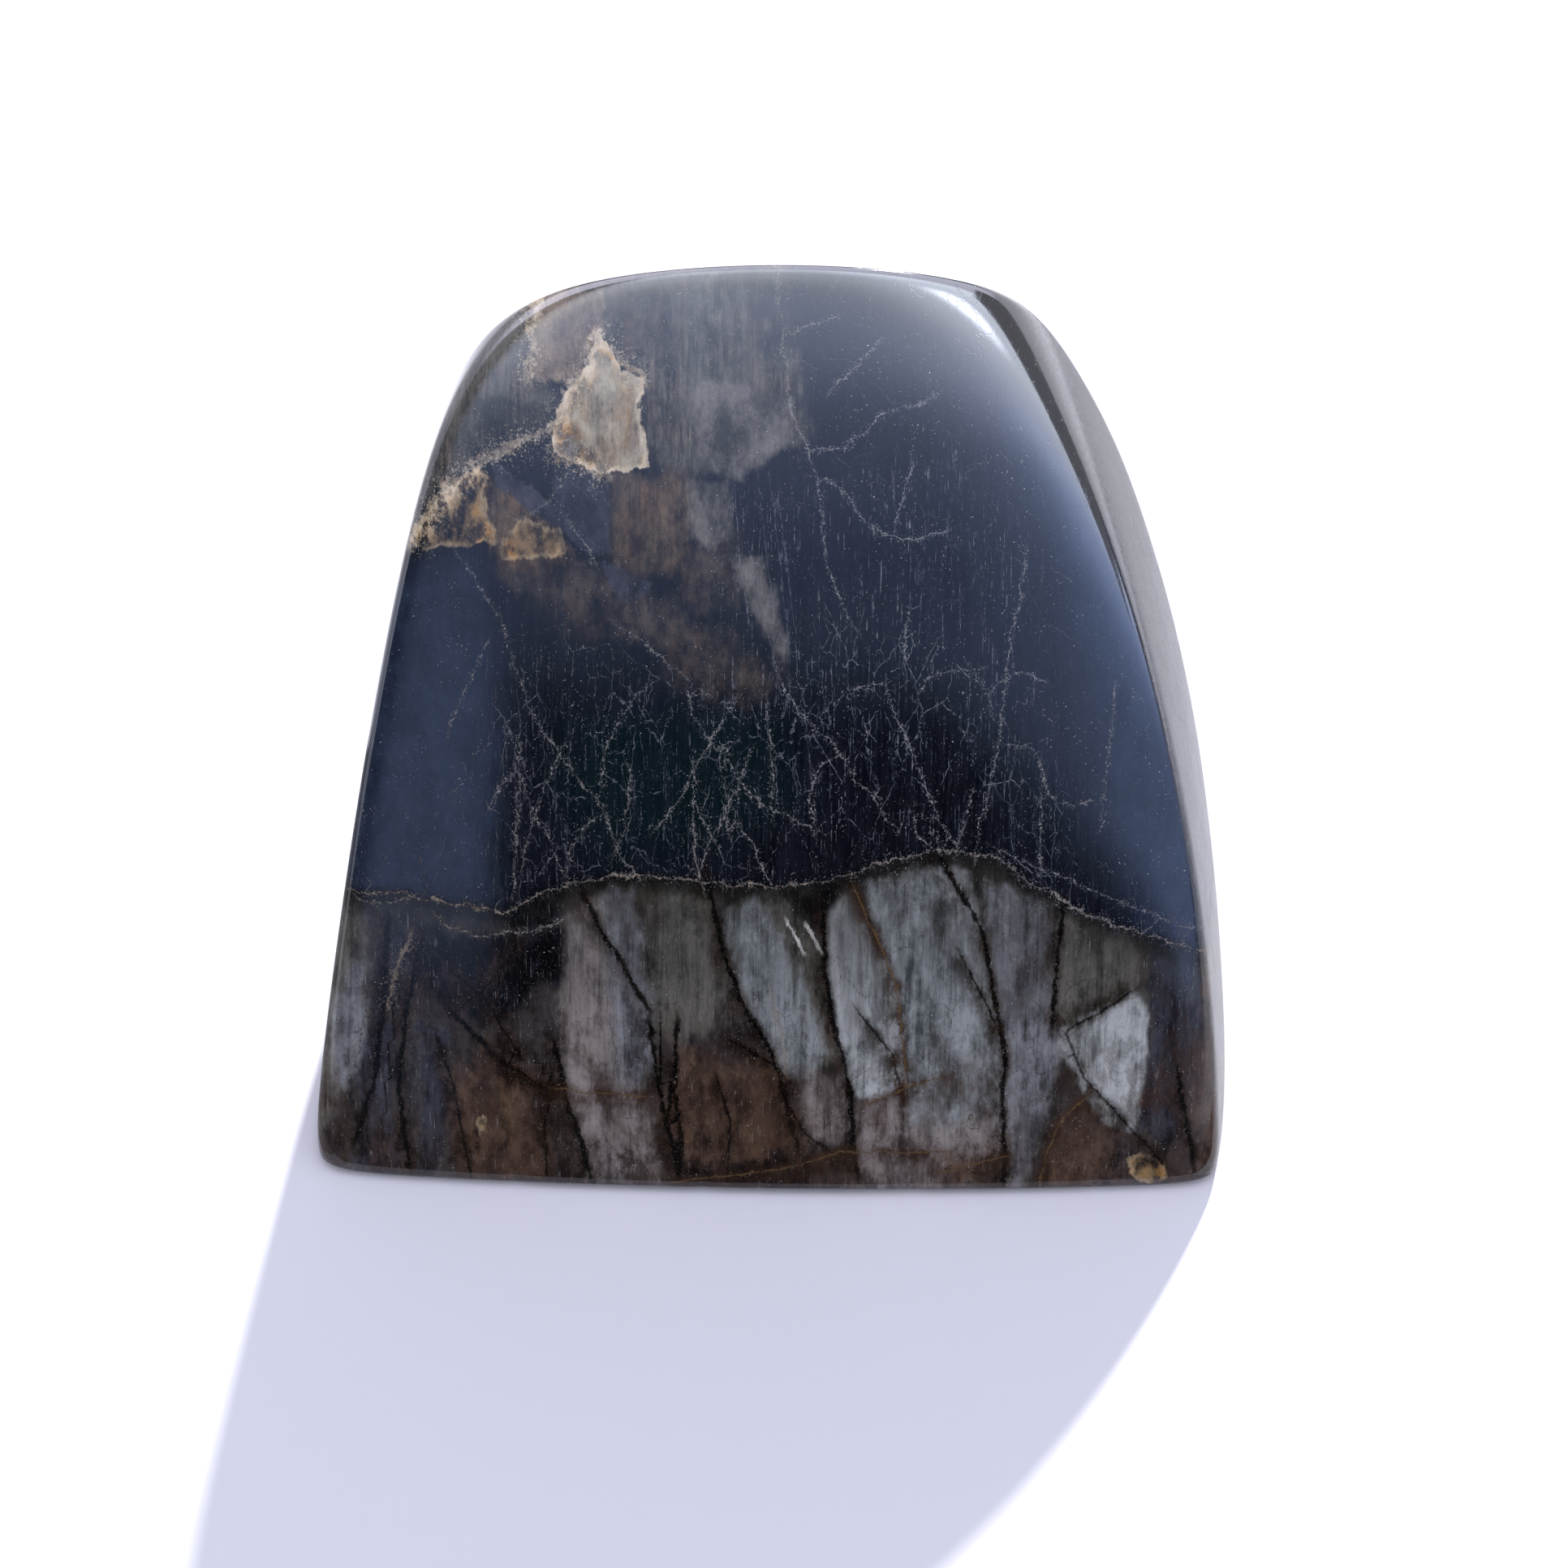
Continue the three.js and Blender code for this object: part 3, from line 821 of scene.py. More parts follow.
def crackLineGroup():
    tree, given, made = makeGroup(
        "crackLine", "ShaderNodeTree",
        [("Vector", "NodeSocketVector", None), ("Side", "NodeSocketFloat", 1.0),
         ("Near", "NodeSocketFloat", 1.0), ("Width", "NodeSocketFloat", 0.15),
         ("Ragged", "NodeSocketFloat", 0.2), ("Broken", "NodeSocketFloat", 0.5)],
        [("Line", "NodeSocketFloat"), ("Crumbs", "NodeSocketFloat"), ("Shade", "NodeSocketFloat")])
    vector, near = given["Vector"], given["Near"]
    side = plus(tree, given["Side"], times(tree, sway(tree, vector), times(tree, given["Ragged"], 2.4)))
    swell = ease(tree, noiseAt(tree, vector, (0.5, 0.5, 0.9), 4.0, 0.8), 0.32, 0.68, 0.15, 1.9)
    share = calc(tree, "DIVIDE", calc(tree, "ABSOLUTE", side), times(tree, given["Width"], swell))
    line = ease(tree, share, 0.3, 1.1, 1.0, 0.0)
    present = ease(tree, noiseAt(tree, vector, (0.6, 0.6, 0.8), 5.0, 0.85), 0.44, 0.56)
    faint = ease(tree, noiseAt(tree, vector, 3.6, 3.0, 0.6), 0.36, 0.6, 0.3, 1.0)
    kept = mixValue(tree, given["Broken"], 1.0, times(tree, present, faint))
    feed(tree, made["Line"], times(tree, line, kept, near))
    crumb = ease(tree, noiseAt(tree, vector, 0.2, 2.0, 0.75), 0.56, 0.64)
    feed(tree, made["Crumbs"], times(tree, crumb, ease(tree, share, 0.8, 8.0, 1.0, 0.0), near))
    # Shade: painted shade beside the line, reaching 2.4 mm to the side where Side is negative
    shade = times(tree, ease(tree, side, -2.4, 0.0), ease(tree, side, 0.0, 0.9, 1.0, 0.0), near)
    feed(tree, made["Shade"], shade)
    return tree


def patchMaskGroup():
    tree, given, made = makeGroup(
        "patchMask", "ShaderNodeTree",
        [("Vector", "NodeSocketVector", None), ("Distance", "NodeSocketFloat", 0.0),
         ("Ragged", "NodeSocketFloat", 0.5), ("Softness", "NodeSocketFloat", 0.2)],
        [("Mask", "NodeSocketFloat"), ("Rim", "NodeSocketFloat")])
    broad = calc(tree, "SUBTRACT", noiseAt(tree, given["Vector"], (2.2, 2.2, 4.0), 3.0, 0.6), 0.5)
    jagged = calc(tree, "SUBTRACT", noiseAt(tree, given["Vector"], (0.45, 0.45, 1.3), 4.0, 0.75), 0.5)
    wander = plus(tree, times(tree, broad, 2.6), times(tree, jagged, 1.3))
    gap = plus(tree, given["Distance"], times(tree, wander, given["Ragged"]))
    feed(tree, made["Mask"], ease(tree, calc(tree, "DIVIDE", gap, given["Softness"]), -1.0, 1.0))
    rim = times(tree, ease(tree, gap, -0.12, 0.0), ease(tree, gap, 0.05, 0.55, 1.0, 0.0))
    feed(tree, made["Rim"], rim)
    return tree


# The rock's own fabric, all of it drawn out up the front face: feature size in millimetres, detail,
# roughness and distortion of the noise, and the part of its range that is drawn out to 0 to 1
fabricNoises = {
    "Mottle": ((2.4, 2.4, 4.0), 6.0, 0.74, 0.0, 0.34, 0.66),
    "Cloud": ((7.0, 7.0, 10.0), 5.0, 0.62, 0.4, 0.3, 0.7),
    "Fine": ((1.1, 1.1, 1.9), 6.0, 0.7, 0.0, 0.3, 0.7),
    "Column": ((1.7, 1.7, 17.0), 5.0, 0.66, 0.5, 0.33, 0.67),
    "Streak": ((0.34, 0.34, 6.5), 5.0, 0.72, 0.0, 0.36, 0.7),
    "Hair": ((0.13, 0.13, 5.0), 3.0, 0.65, 0.0, 0.57, 0.67),
    "Speck": (0.17, 2.0, 0.6, 0.0, 0.668, 0.71),
    "Pits": (0.32, 3.0, 0.6, 0.0, 0.64, 0.72),
}
fabricBreaks = {  # noises that keep only some of a fabric
    "Hair": ((0.5, 0.5, 0.8), 4.0, 0.8, 0.0, 0.47, 0.6),
    "Speck": (2.2, 3.0, 0.7, 0.0, 0.42, 0.6),
    "Web": ((1.6, 1.6, 2.6), 5.0, 0.85, 0.0, 0.46, 0.56),
    "Fine Web": ((0.8, 0.8, 1.2), 5.0, 0.85, 0.0, 0.46, 0.56),
}
webCells = {"Web": ((3.4, 3.4, 7.5), 0.012), "Fine Web": ((1.5, 1.5, 3.4), 0.02)}  # size and line width


def rockFabricGroup():
    names = list(fabricNoises) + list(webCells)
    tree, given, made = makeGroup("rockFabric", "ShaderNodeTree", [("Vector", "NodeSocketVector", None)],
                                  [(name, "NodeSocketFloat") for name in names])
    vector = given["Vector"]

    def drawnOut(size, detail, roughness, distortion, low, high):
        return ease(tree, noiseAt(tree, vector, size, detail, roughness, distortion), low, high)

    parts = {name: drawnOut(*noise) for name, noise in fabricNoises.items()}
    bent = addNode(tree, "ShaderNodeTexNoise", {
        "Vector": vectorCalc(tree, "DIVIDE", vector, (2.6, 2.6, 3.4)),
        "Scale": 1.0, "Detail": 4.0, "Roughness": 0.7}).outputs["Color"]
    bent = vectorCalc(tree, "MULTIPLY", vectorCalc(tree, "SUBTRACT", bent, (0.5, 0.5, 0.5)), (1.2, 1.2, 1.8))
    for name, (size, width) in webCells.items():
        cells = vectorCalc(tree, "DIVIDE", vectorCalc(tree, "ADD", vector, bent), size)
        edge = addNode(tree, "ShaderNodeTexVoronoi", {"Vector": cells, "Scale": 1.0},
                       feature="DISTANCE_TO_EDGE").outputs["Distance"]
        parts[name] = ease(tree, edge, 0.0, width, 1.0, 0.0)
    for name, noise in fabricBreaks.items():
        parts[name] = times(tree, parts[name], drawnOut(*noise))
    for name, part in parts.items():
        feed(tree, made[name], part)
    return tree


# How each patch looks: its tones from dark to light, how ragged and how soft its outline is in
# millimetres, how much of it shows, and the veils laid over it as pattern, tone and share
deepPatches = {
    "teal": {"dark": (4, 22, 24), "light": (4, 22, 24), "ragged": 1.5, "softness": 4.0, "share": 0.9},
    # a painted reflection of the sky: the blue-grey sheen at the left and right of the face
    "paintedSheen": {"dark": (26, 34, 48), "light": (42, 52, 70), "ragged": 1.5, "softness": 3.0, "share": 0.85},
}
cloudyPatches = {
    "clouded": {"dark": (8, 10, 13), "light": (86, 87, 80), "ragged": 1.6, "softness": 1.4, "share": 0.88,
                "veils": [("grit", (146, 141, 130), 0.8), ("stripes", (88, 66, 46), 0.55),
                          ("shadows", (8, 10, 14), 0.7), ("hair", (150, 148, 142), 0.5)]},
    "haze": {"dark": (12, 13, 18), "light": (86, 80, 72), "ragged": 3.0, "softness": 2.2, "share": 0.8,
             "torn": "wisps", "veils": [("stripes", (108, 82, 58), 0.35)]},
    "taupe": {"dark": (34, 31, 30), "light": (112, 99, 82), "ragged": 1.8, "softness": 1.1, "share": 0.85,
              "veils": [("bands", (150, 108, 62), 0.4), ("streak", (26, 24, 30), 0.55)]},
    "greyBlock": {"dark": (54, 54, 52), "light": (136, 132, 124), "ragged": 1.3, "softness": 0.6,
                  "share": 0.75, "veils": [("streak", (58, 56, 58), 0.4)]},
    "tanBlock": {"dark": (72, 60, 50), "light": (150, 134, 112), "ragged": 1.0, "softness": 0.3,
                 "share": 0.9, "veils": [("streak", (96, 84, 76), 0.4)]},
    "navyFlake": {"dark": (14, 16, 24), "light": (58, 60, 70), "ragged": 0.7, "softness": 0.15,
                  "share": 0.9, "veils": [("fine", (82, 82, 88), 0.3)]},
    "honey": {"dark": (84, 76, 60), "light": (186, 178, 152), "ragged": 0.8, "softness": 0.15,
              "veils": [("stripes", (158, 116, 56), 0.6), ("milk", (130, 124, 122), 0.5),
                        ("streak", (186, 178, 164), 0.3)]},
}
golden = {"dark": (38, 34, 32), "light": (134, 112, 80), "by": "goldGrain", "ragged": 0.9, "softness": 0.3,
          "torn": "flecks", "veils": [("goldBands", (186, 132, 62), 0.6)]}
blocks = {
    "oliveBlock": {"dark": (26, 26, 23), "light": (112, 109, 100), "ragged": 1.7, "softness": 1.2},
    "slateBlock": {"dark": (12, 14, 22), "light": (66, 68, 76), "ragged": 1.5, "softness": 0.9},
    "dullBlock": {"dark": (52, 52, 54), "light": (136, 138, 140), "ragged": 1.5, "softness": 0.7},
    "lightBlock": {"dark": (56, 60, 59), "light": (158, 163, 162), "ragged": 1.3, "softness": 0.6},
    "mauveBlock": {"dark": (58, 51, 50), "light": (150, 142, 136), "ragged": 1.3, "softness": 1.2},
}
blockShare = 0.93
paleBlock = {"dark": (76, 80, 77), "light": (188, 192, 189), "by": "blockGrain", "ragged": 0.7,
             "softness": 0.4, "share": blockShare, "torn": "paleBelow"}
brownStain = {"dark": (14, 10, 8), "light": (106, 80, 58), "ragged": 2.4, "softness": 1.8, "share": 0.8,
              "veils": [("column", (74, 62, 58), 0.4)]}
# near-black rock, deepened as painted shade beneath the main crack and low on the face
blackPaintedShade = {"dark": (3, 3, 5), "light": (30, 30, 38), "by": "sparks", "ragged": 1.6, "softness": 0.9,
             "share": 0.95}
seams = {  # line and shade beside it
    "darkSeams": ((4, 3, 3), (13, 9, 7)),
    "slantingSeams": ((6, 4, 4), (22, 15, 11)),
    "brownSeams": ((92, 71, 46), (46, 32, 22)),
}
openCracks = ("fallingCracks", "risingCracks", "uprightCracks", "lowerBranch", "strand")


def over(tree, base, mask, colour, share=1.0):
    amount = mask if share == 1.0 else times(tree, mask, share)
    return mixTone(tree, amount, base, colour)


def most(tree, values):
    result = values[0]
    for value in values[1:]:
        result = calc(tree, "MAXIMUM", result, value)
    return result


def sway(tree, vector):
    # how a crack strays to each side of its path, from -0.5 to 0.5
    return calc(tree, "SUBTRACT", noiseAt(tree, vector, 1.4, 6.0, 0.72), 0.5)


def rockPatterns(tree):
    # every pattern that the tones below follow, by name
    coordinates = addNode(tree, "ShaderNodeTexCoord").outputs["Object"]
    turned = addNode(tree, "ShaderNodeMapping", {
        "Vector": coordinates, "Rotation": (math.radians(stone["facets"]["front"]["lean"]), 0, 0),
        "Scale": (metre, metre, metre)}).outputs[0]
    fabric = addGroup(tree, rockFabricGroup(), {"Vector": turned}).outputs
    cloud, fine, column, streak = fabric["Cloud"], fabric["Fine"], fabric["Column"], fabric["Streak"]
    mottle = fabric["Mottle"]
    height = addNode(tree, "ShaderNodeSeparateXYZ", {0: coordinates}).outputs["Z"]
    lowDown = plus(tree, height, times(tree, calc(tree, "SUBTRACT", mottle, 0.5), 0.010))
    blocky = calc(tree, "SUBTRACT", plus(tree, mottle, times(tree, column, 0.6)), times(tree, streak, 0.45))
    return {
        "turned": turned, "height": height, "lowDown": lowDown,
        "crackGroup": crackLineGroup(), "maskGroup": patchMaskGroup(),
        "cloud": cloud, "fine": fine, "column": column, "streak": streak, "mottle": mottle,
        "hair": fabric["Hair"], "speck": fabric["Speck"], "pits": fabric["Pits"],
        "web": fabric["Web"], "fineWeb": fabric["Fine Web"],
        "grit": times(tree, fine, streak),
        "stripes": times(tree, column, fine),
        "bands": times(tree, column, cloud),
        "shadows": ease(tree, cloud, 0.4, 0.85),
        "milk": ease(tree, cloud, 0.5, 0.9),
        "wisps": ease(tree, fine, 0.0, 0.6, 0.35, 1.0),
        "flecks": ease(tree, fine, 0.1, 0.55, 0.25, 1.0),
        "sparks": ease(tree, fine, 0.5, 1.0),
        "goldGrain": ease(tree, plus(tree, mottle, fine), 0.2, 1.7),
        "goldBands": ease(tree, times(tree, cloud, fine), 0.3, 0.7),
        "blockGrain": ease(tree, blocky, -0.35, 1.5),
        "paleBelow": ease(tree, lowDown, 0.016, 0.027, 1.0, 0.35),
    }


def patchShape(tree, rock, name, look):
    return addGroup(tree, rock["maskGroup"], {
        "Vector": rock["turned"], "Distance": field(tree, name),
        "Ragged": look["ragged"], "Softness": look["softness"]}).outputs


def layPatch(tree, rock, under, name, look):
    shape = patchShape(tree, rock, name, look)
    tint = mixTone(tree, rock[look.get("by", "mottle")], tone(*look["dark"]), tone(*look["light"]))
    for pattern, colour, share in look.get("veils", ()):
        tint = over(tree, tint, rock[pattern], tone(*colour), share)
    mask = times(tree, shape["Mask"], rock[look["torn"]]) if "torn" in look else shape["Mask"]
    return over(tree, under, mask, tint, look.get("share", 1.0)), shape


def crackShape(tree, rock, name):
    crack = cracks[name]
    return addGroup(tree, rock["crackGroup"], {
        "Vector": rock["turned"], "Side": field(tree, name + "Side"), "Near": field(tree, name + "Near"),
        "Width": crack["width"], "Ragged": crack["ragged"], "Broken": crack["broken"]}).outputs


def cloudedRock(tree, rock, shapes):
    # above the crack: near black, clouded and stained towards the upper left, with a painted
    # reflection of the sky as a blue-grey sheen at left and right
    upper = mixTone(tree, rock["cloud"], tone(3, 4, 8), tone(9, 13, 22))
    upper = over(tree, upper, times(tree, rock["column"], rock["mottle"]), tone(22, 25, 38), 0.45)
    for name, look in deepPatches.items():
        upper, shapes[name] = layPatch(tree, rock, upper, name, look)
    upper = over(tree, upper, rock["streak"], tone(40, 42, 50), 0.3)
    for name, look in cloudyPatches.items():
        upper, shapes[name] = layPatch(tree, rock, upper, name, look)
    edge = times(tree, shapes["honey"]["Rim"], rock["fine"])
    return over(tree, upper, edge, tone(232, 216, 186), 0.9)


def blockyRock(tree, rock):
    # below the crack: upright blocks, grey and blue, browner towards the base, and near-black
    # patches deepened as painted shade beneath the main crack and low down
    fine, cloud, column, lowDown = rock["fine"], rock["cloud"], rock["column"], rock["lowDown"]
    lower = mixTone(tree, rock["mottle"], tone(10, 9, 10), tone(66, 62, 60))
    lower = over(tree, lower, column, tone(60, 54, 52), 0.35)
    rims = []
    for name, look in blocks.items():
        lower, shape = layPatch(tree, rock, lower, name, {**look, "by": "blockGrain", "share": blockShare})
        rims.append(shape["Rim"])
    lower = over(tree, lower, times(tree, most(tree, rims), fine), tone(112, 104, 80), 0.25)
    high = times(tree, ease(tree, lowDown, 0.017, 0.026), ease(tree, fine, 0.0, 0.8, 0.4, 1.0))
    lower = over(tree, lower, high, tone(30, 31, 26), 0.5)
    lower = over(tree, lower, ease(tree, cloud, 0.5, 1.0), tone(20, 18, 16), 0.4)
    lower, shape = layPatch(tree, rock, lower, "paleBlock", paleBlock)
    lower, shape = layPatch(tree, rock, lower, "brownStain", brownStain)
    nearBase = ease(tree, lowDown, 0.002, 0.015, 1.0, 0.0)
    lower = over(tree, lower, times(tree, nearBase, column), tone(76, 53, 38), 0.35)
    foot = times(tree, ease(tree, lowDown, 0.0, 0.006, 1.0, 0.0), ease(tree, cloud, 0.3, 0.6))
    lower = over(tree, lower, foot, tone(12, 9, 9), 0.5)
    lower, shape = layPatch(tree, rock, lower, "blackPaintedShade", blackPaintedShade)
    veins = most(tree, [rock["web"], times(tree, rock["fineWeb"], 0.6)])
    veins = times(tree, veins, ease(tree, rock["mottle"], 0.0, 0.7))
    lower = over(tree, lower, veins, mixTone(tree, cloud, tone(20, 15, 13), tone(74, 52, 36)), 0.8)
    rusty = times(tree, ease(tree, cloud, 0.55, 0.95), ease(tree, lowDown, 0.008, 0.022, 1.0, 0.2), fine)
    lower = over(tree, lower, rusty, tone(78, 56, 42), 0.55)
    return over(tree, lower, rock["hair"], tone(140, 140, 136), 0.5)


def edgesAndSeams(tree, rock, base, shapes):
    # sparkling flake edges, then the seams between the blocks
    fine, mottle = rock["fine"], rock["mottle"]
    base, shapes["golden"] = layPatch(tree, rock, base, "golden", golden)
    base = over(tree, base, times(tree, shapes["golden"]["Rim"], fine), tone(206, 186, 150), 0.4)
    flake = crackShape(tree, rock, "flakeEdges")
    bright = most(tree, [shapes["golden"]["Mask"], shapes["honey"]["Mask"],
                         times(tree, shapes["tanBlock"]["Mask"], 0.6)])
    grains = times(tree, flake["Shade"], ease(tree, fine, 0.3, 0.75), bright)
    base = over(tree, base, grains, mixTone(tree, mottle, tone(196, 150, 84), tone(232, 220, 192)), 0.85)
    sparkle = mixTone(tree, fine, tone(168, 142, 100), tone(232, 222, 200))
    base = over(tree, base, flake["Line"], sparkle, 0.85)
    base = over(tree, base, flake["Crumbs"], tone(206, 196, 172), 0.6)
    patchy = ease(tree, mottle, 0.1, 0.8, 1.0, 0.35)
    for name, (line, shade) in seams.items():
        seam = crackShape(tree, rock, name)
        # beside each seam a rust stain, then painted shade over it
        base = over(tree, base, times(tree, seam["Shade"], fine), tone(72, 50, 34), 0.4)
        base = over(tree, base, times(tree, seam["Shade"], patchy), tone(*shade), 0.85)
        base = over(tree, base, seam["Line"], tone(*line))
        base = over(tree, base, seam["Crumbs"], tone(96, 82, 58), 0.2)
    pale = crackShape(tree, rock, "paleSeams")
    base = over(tree, base, pale["Line"], tone(128, 116, 98), 0.7)
    base = over(tree, base, pale["Crumbs"], tone(140, 130, 114), 0.5)
    sliver = crackShape(tree, rock, "slivers")
    white = mixTone(tree, fine, tone(128, 126, 118), tone(206, 204, 196))
    return over(tree, base, sliver["Line"], white, 0.9)


def cracksAndDust(tree, rock, base, depth, below):
    # open hairline cracks, white with grinding dust, and crushed rock along the main one
    found = [crackShape(tree, rock, name) for name in openCracks]
    lines, crumbs = [shape["Line"] for shape in found], [shape["Crumbs"] for shape in found]
    main = crackShape(tree, rock, "mainCrack")
    crackled = patchShape(tree, rock, "crackled", {"ragged": 2.2, "softness": 2.5})["Mask"]
    striated = patchShape(tree, rock, "striated", {"ragged": 3.0, "softness": 3.0})["Mask"]
    crushed = times(tree, ease(tree, depth, 0.0, 5.0, 1.0, 0.0), ease(tree, depth, -1.0, -0.2))
    dense = most(tree, [crackled, crushed])
    dust = times(tree, most(tree, [rock["web"], rock["hair"]]), ease(tree, dense, 0.0, 1.0, 0.2, 0.9))
    patchy = times(tree, ease(tree, dense, 0.2, 1.0, 0.0, 0.85), ease(tree, rock["cloud"], 0.25, 0.75))
    dust = most(tree, [dust, times(tree, striated, rock["hair"]), times(tree, rock["fineWeb"], patchy)])
    dust = times(tree, dust, ease(tree, below, 0.0, 1.0, 1.0, 0.25))
    base = over(tree, base, dust, tone(98, 95, 92), 0.65)
    # painted shade below the main crack
    base = over(tree, base, main["Shade"], tone(4, 4, 5), 0.75)
    highUp = ease(tree, rock["height"], 0.036, 0.060, 1.0, 0.5)
    base = over(tree, base, times(tree, most(tree, lines), highUp), tone(130, 121, 108), 0.85)
    loose = most(tree, crumbs + [times(tree, main["Crumbs"], 0.6)])
    base = over(tree, base, times(tree, loose, highUp), tone(140, 133, 121), 0.7)
    base = over(tree, base, main["Line"], tone(146, 130, 108), 0.85)
    base = over(tree, base, crackShape(tree, rock, "scratches")["Line"], tone(112, 114, 122), 0.6)
    base = over(tree, base, rock["speck"], tone(176, 172, 166), 0.7)
    return base, most(tree, lines + crumbs + [main["Line"], main["Crumbs"], rock["speck"], dust])


def makeLabradorite():
    material, tree = startMaterial("labradorite")
    rock = rockPatterns(tree)
    turned = rock["turned"]
    shapes = {}
    upper = cloudedRock(tree, rock, shapes)
    lower = blockyRock(tree, rock)
    depth = plus(tree, field(tree, "mainCrackSide"), sway(tree, turned))
    below = ease(tree, depth, -0.1, 0.1, 1.0, 0.0)  # the path runs right, so below it is negative
    colour = mixTone(tree, below, upper, lower)
    olive = times(tree, ease(tree, depth, -3.2, -0.4), below, rock["fine"])
    colour = over(tree, colour, olive, tone(40, 40, 26), 0.55)
    colour = edgesAndSeams(tree, rock, colour, shapes)
    colour, broken = cracksAndDust(tree, rock, colour, depth, below)

    # the right flank kept its grinding scratches
    flank = ease(tree, field(tree, "turnedRight"), 0.5, 0.85)
    scratch = ease(tree, noiseAt(tree, turned, (0.16, 0.16, 7.0), 3.0, 0.7, 0.3), 0.5, 0.66)
    scratch = times(tree, scratch, flank)
    colour = over(tree, colour, scratch, tone(120, 120, 124), 0.4)

    roughness = ease(tree, noiseAt(tree, turned, 3.0, 3.0), 0.3, 0.7, 0.075, 0.11)
    roughness = plus(tree, roughness, times(tree, flank, 0.16), times(tree, broken, 0.4))
    relief = times(tree, noiseAt(tree, turned, (0.6, 0.6, 2.4), 4.0, 0.6), 0.22)
    for value, share in ((rock["hair"], 0.10), (broken, -0.7), (rock["pits"], -0.12), (scratch, -0.4)):
        relief = plus(tree, relief, times(tree, value, share))
    bump = addNode(tree, "ShaderNodeBump", {"Height": relief, "Strength": 0.22, "Distance": 0.0001})
    shader = addNode(tree, "ShaderNodeBsdfPrincipled", {
        "Base Color": colour, "Roughness": roughness, "Normal": bump.outputs[0], "IOR": 1.56})
    finishTree(tree, shader)
    return material


# The stage: a pale floor, a low sun-like key from behind right, a lavender sky, and things that only
# the polish reflects: a painted card in front, cards on the floor and screens at the right

stage = {
    "floorSize": 6.0,
    "floorTone": (0.90, 0.90, 0.92, 1.0),
    "sky": (0.80, 0.81, 0.98, 1.0),
    "skyStrength": 0.95,
    "skyAbove": (0.45, 0.85, 0.0, 9.0),  # how much brighter the polish finds the sky overhead
    "skyLeft": (-0.95, -0.5, 1.6, 0.0),  # and at far left
    "sunElevation": 38,
    "sunAzimuth": 13,     # degrees to the right of straight behind
    "sunStrength": 3.2,
    "sunWidth": 1.6,
    "greyGlow": (0.9, 0.9, 1.0, 1.0),
    "floorCardLift": 0.0002,  # metres by which cards on the floor clear it
}

# The painted card in millimetres, across from its middle and up from the floor. Gains and fades are
# where they start and end, and what they start and end at
frontCard = {
    "distance": 160,      # in front of the stone's middle
    "halfWidth": 500,
    "top": 520,
    "lowGlow": (0.47, 0.62, 1.06, 1.0),
    "highGlow": (0.82, 0.88, 1.03, 1.0),
    "tintFade": (90.0, 220.0),
    "light": 0.78,
    "upwardGains": [(95, 125, 0.7), (120, 165, 3.0), (160, 240, 2.4), (230, 420, 5.0)],
    "highRightGain": (20.0, 100.0, 0.0, 3.4),
    "highRightRise": (60.0, 130.0),
    "rightGain": (20.0, 80.0, 0.0, 0.8),
    "leftFade": (-135.0, -65.0, 0.15, 1.0),
    "lowFade": (12.0, 34.0, 0.2, 1.0),
    "glint": (117, 256, 6.0, 44, 24),  # across, up, radius of its core and of its rim, gain
    "darkLeft": (-56.0, -50.0),
    "darkRight": (90.0, 112.0, 1.0, 0.0),
    "darkTop": (66.0, 92.0, 1.0, 0.0),
    "darkLean": 0.95,     # how far the dark part's right edge leans over as it rises
    "darkShare": 0.98,
}
floorCards = {  # left, right, near, far and glow
    "apron": (-120, 72, -158, -33, 0.05),
    "sideFloor": (58, 900, -30, 900, 1.1),
    "leftFloor": (-200, -46, -33, 40, 0.3),
}
screens = {  # across, near, far, low, high and glow
    "darkScreen": (180, -130, 4, 105, 320, 1.5),
    "sideScreen": (260, 0, 700, 0, 320, 4.6),
}


def plainMesh(name, corners, material):
    mesh = bpy.data.meshes.new(name)
    mesh.from_pydata(corners, [], [tuple(range(len(corners)))])
    mesh.materials.append(material)
    thing = bpy.data.objects.new(name, mesh)
    bpy.context.scene.collection.objects.link(thing)
    return thing


def makeFloor():
    material, tree = startMaterial("paleFloor")
    finishTree(tree, addNode(tree, "ShaderNodeBsdfDiffuse", {"Color": stage["floorTone"]}))
    half = stage["floorSize"] / 2
    plainMesh("paleFloor", [(-half, -half, 0), (half, -half, 0), (half, half, 0), (-half, half, 0)], material)


def makeCard(name, corners, colour, strength):
    # colour and strength are values, or functions that build them from the card's place
    material, tree = startMaterial(name)
    if callable(colour):
        place = split(tree, scaled(tree, addNode(tree, "ShaderNodeTexCoord").outputs["Object"], metre))
        colour, strength = colour(tree, place["Z"]), strength(tree, place["X"], place["Z"])
    finishTree(tree, addNode(tree, "ShaderNodeEmission", {"Color": colour, "Strength": strength}))
    card = plainMesh(name, corners, material)
    card.visible_camera = card.visible_diffuse = card.visible_shadow = False
    card.visible_transmission = card.visible_volume_scatter = False


def cardTint(tree, up):
    return mixTone(tree, ease(tree, up, *frontCard["tintFade"]), frontCard["lowGlow"], frontCard["highGlow"])


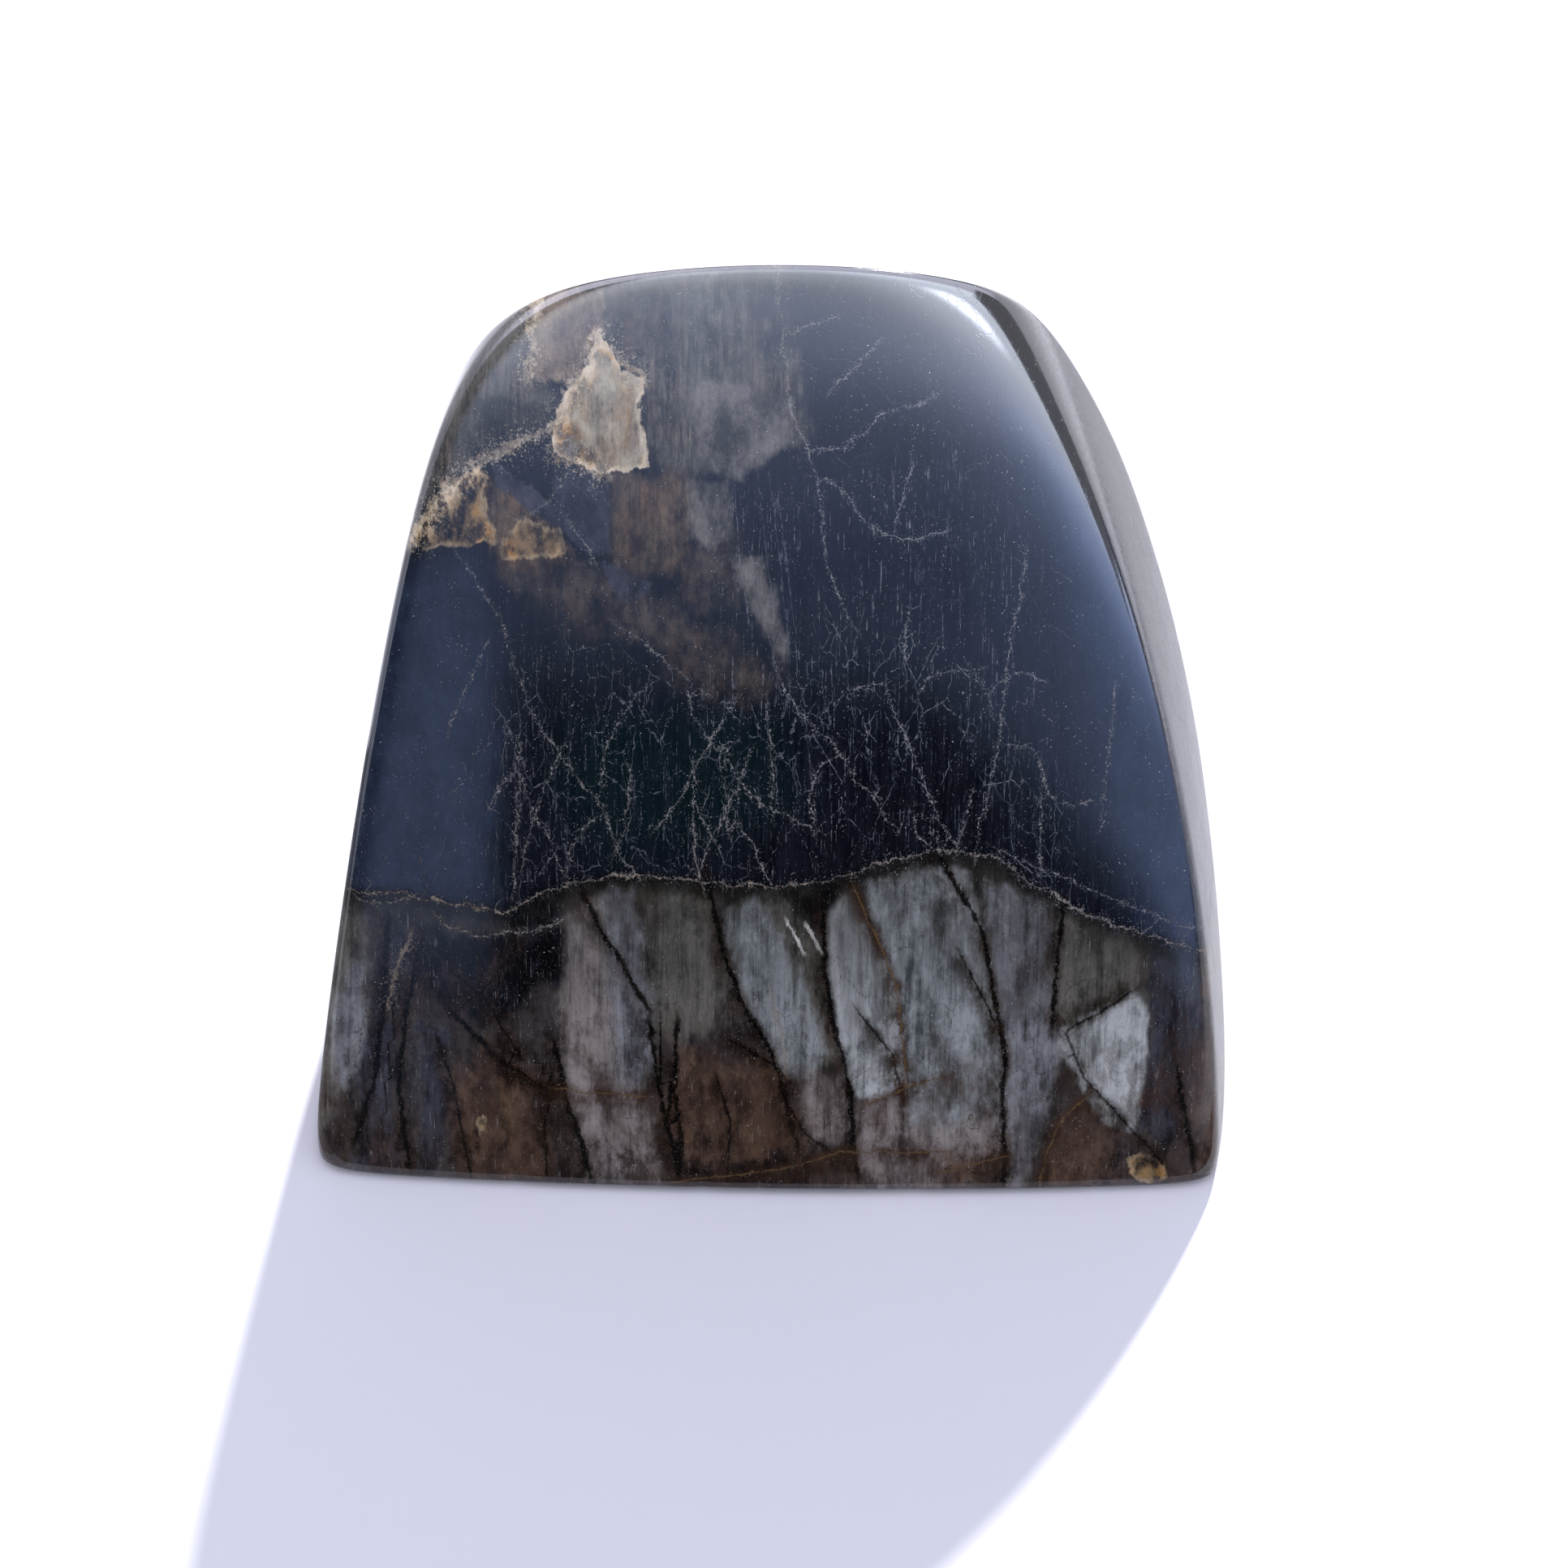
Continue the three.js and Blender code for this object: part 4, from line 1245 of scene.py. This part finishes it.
def cardLight(tree, across, up):
    # grows brighter upwards and to the right, with a dark middle low down
    light = frontCard["light"]
    for low, high, gain in frontCard["upwardGains"]:
        light = plus(tree, light, ease(tree, up, low, high, 0.0, gain))
    highRight = times(tree, ease(tree, across, *frontCard["highRightGain"]),
                      ease(tree, up, *frontCard["highRightRise"]))
    light = plus(tree, light, highRight, ease(tree, across, *frontCard["rightGain"]))
    light = times(tree, light, ease(tree, across, *frontCard["leftFade"]),
                  ease(tree, up, *frontCard["lowFade"]))
    glintAcross, glintUp, core, rim, glintGain = frontCard["glint"]
    away = vectorCalc(tree, "LENGTH", combine(
        tree, calc(tree, "SUBTRACT", across, glintAcross), calc(tree, "SUBTRACT", up, glintUp), 0.0))
    light = plus(tree, light, ease(tree, away, core, rim, glintGain, 0.0))
    lean = plus(tree, across, times(tree, up, frontCard["darkLean"]))
    dark = times(tree, ease(tree, across, *frontCard["darkLeft"]), ease(tree, lean, *frontCard["darkRight"]),
                 ease(tree, up, *frontCard["darkTop"]))
    return times(tree, light, calc(tree, "SUBTRACT", 1.0, times(tree, dark, frontCard["darkShare"])))


def makeCards():
    y = -frontCard["distance"] / metre
    half, top = frontCard["halfWidth"] / metre, frontCard["top"] / metre
    makeCard("frontCard", [(-half, y, 0.0), (half, y, 0.0), (half, y, top), (-half, y, top)],
             cardTint, cardLight)
    lift = stage["floorCardLift"]
    for name, (*corners, glow) in floorCards.items():
        left, right, near, far = (value / metre for value in corners)
        makeCard(name, [(left, near, lift), (right, near, lift), (right, far, lift), (left, far, lift)],
                 stage["greyGlow"], glow)
    for name, (*corners, glow) in screens.items():
        x, near, far, low, high = (value / metre for value in corners)
        makeCard(name, [(x, near, low), (x, far, low), (x, far, high), (x, near, high)],
                 stage["greyGlow"], glow)


def makeLight():
    world = bpy.data.worlds.new("sky")
    bpy.context.scene.world = world
    world.use_nodes = True
    tree = world.node_tree
    tree.nodes.clear()
    direction = addNode(tree, "ShaderNodeTexCoord").outputs["Generated"]
    parts = split(tree, direction)
    mirrored = plus(tree, ease(tree, parts["Z"], *stage["skyAbove"]),
                    ease(tree, parts["X"], *stage["skyLeft"]))
    polish = addNode(tree, "ShaderNodeLightPath").outputs["Is Glossy Ray"]
    strength = plus(tree, stage["skyStrength"], times(tree, mirrored, polish))
    sky = addNode(tree, "ShaderNodeBackground", {"Color": stage["sky"], "Strength": strength})
    finishTree(tree, sky, "ShaderNodeOutputWorld")
    data = bpy.data.lights.new("key", "SUN")
    data.energy = stage["sunStrength"]
    data.angle = math.radians(stage["sunWidth"])
    key = bpy.data.objects.new("key", data)
    azimuth, elevation = math.radians(stage["sunAzimuth"]), math.radians(stage["sunElevation"])
    toward = Vector((math.sin(azimuth) * math.cos(elevation), math.cos(azimuth) * math.cos(elevation),
                     math.sin(elevation)))
    key.rotation_mode = "QUATERNION"
    key.rotation_quaternion = toward.to_track_quat("Z", "Y")
    bpy.context.scene.collection.objects.link(key)


piece, points = grindStone(makeLabradorite())
print("stone ground:", len(piece.data.vertices), "points")
markStone(piece, points)
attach(piece, "root")
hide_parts("stone")

placeCamera()
makeFloor()
makeCards()
makeLight()
bpy.context.scene.view_settings.view_transform = "Standard"
print("stage set")
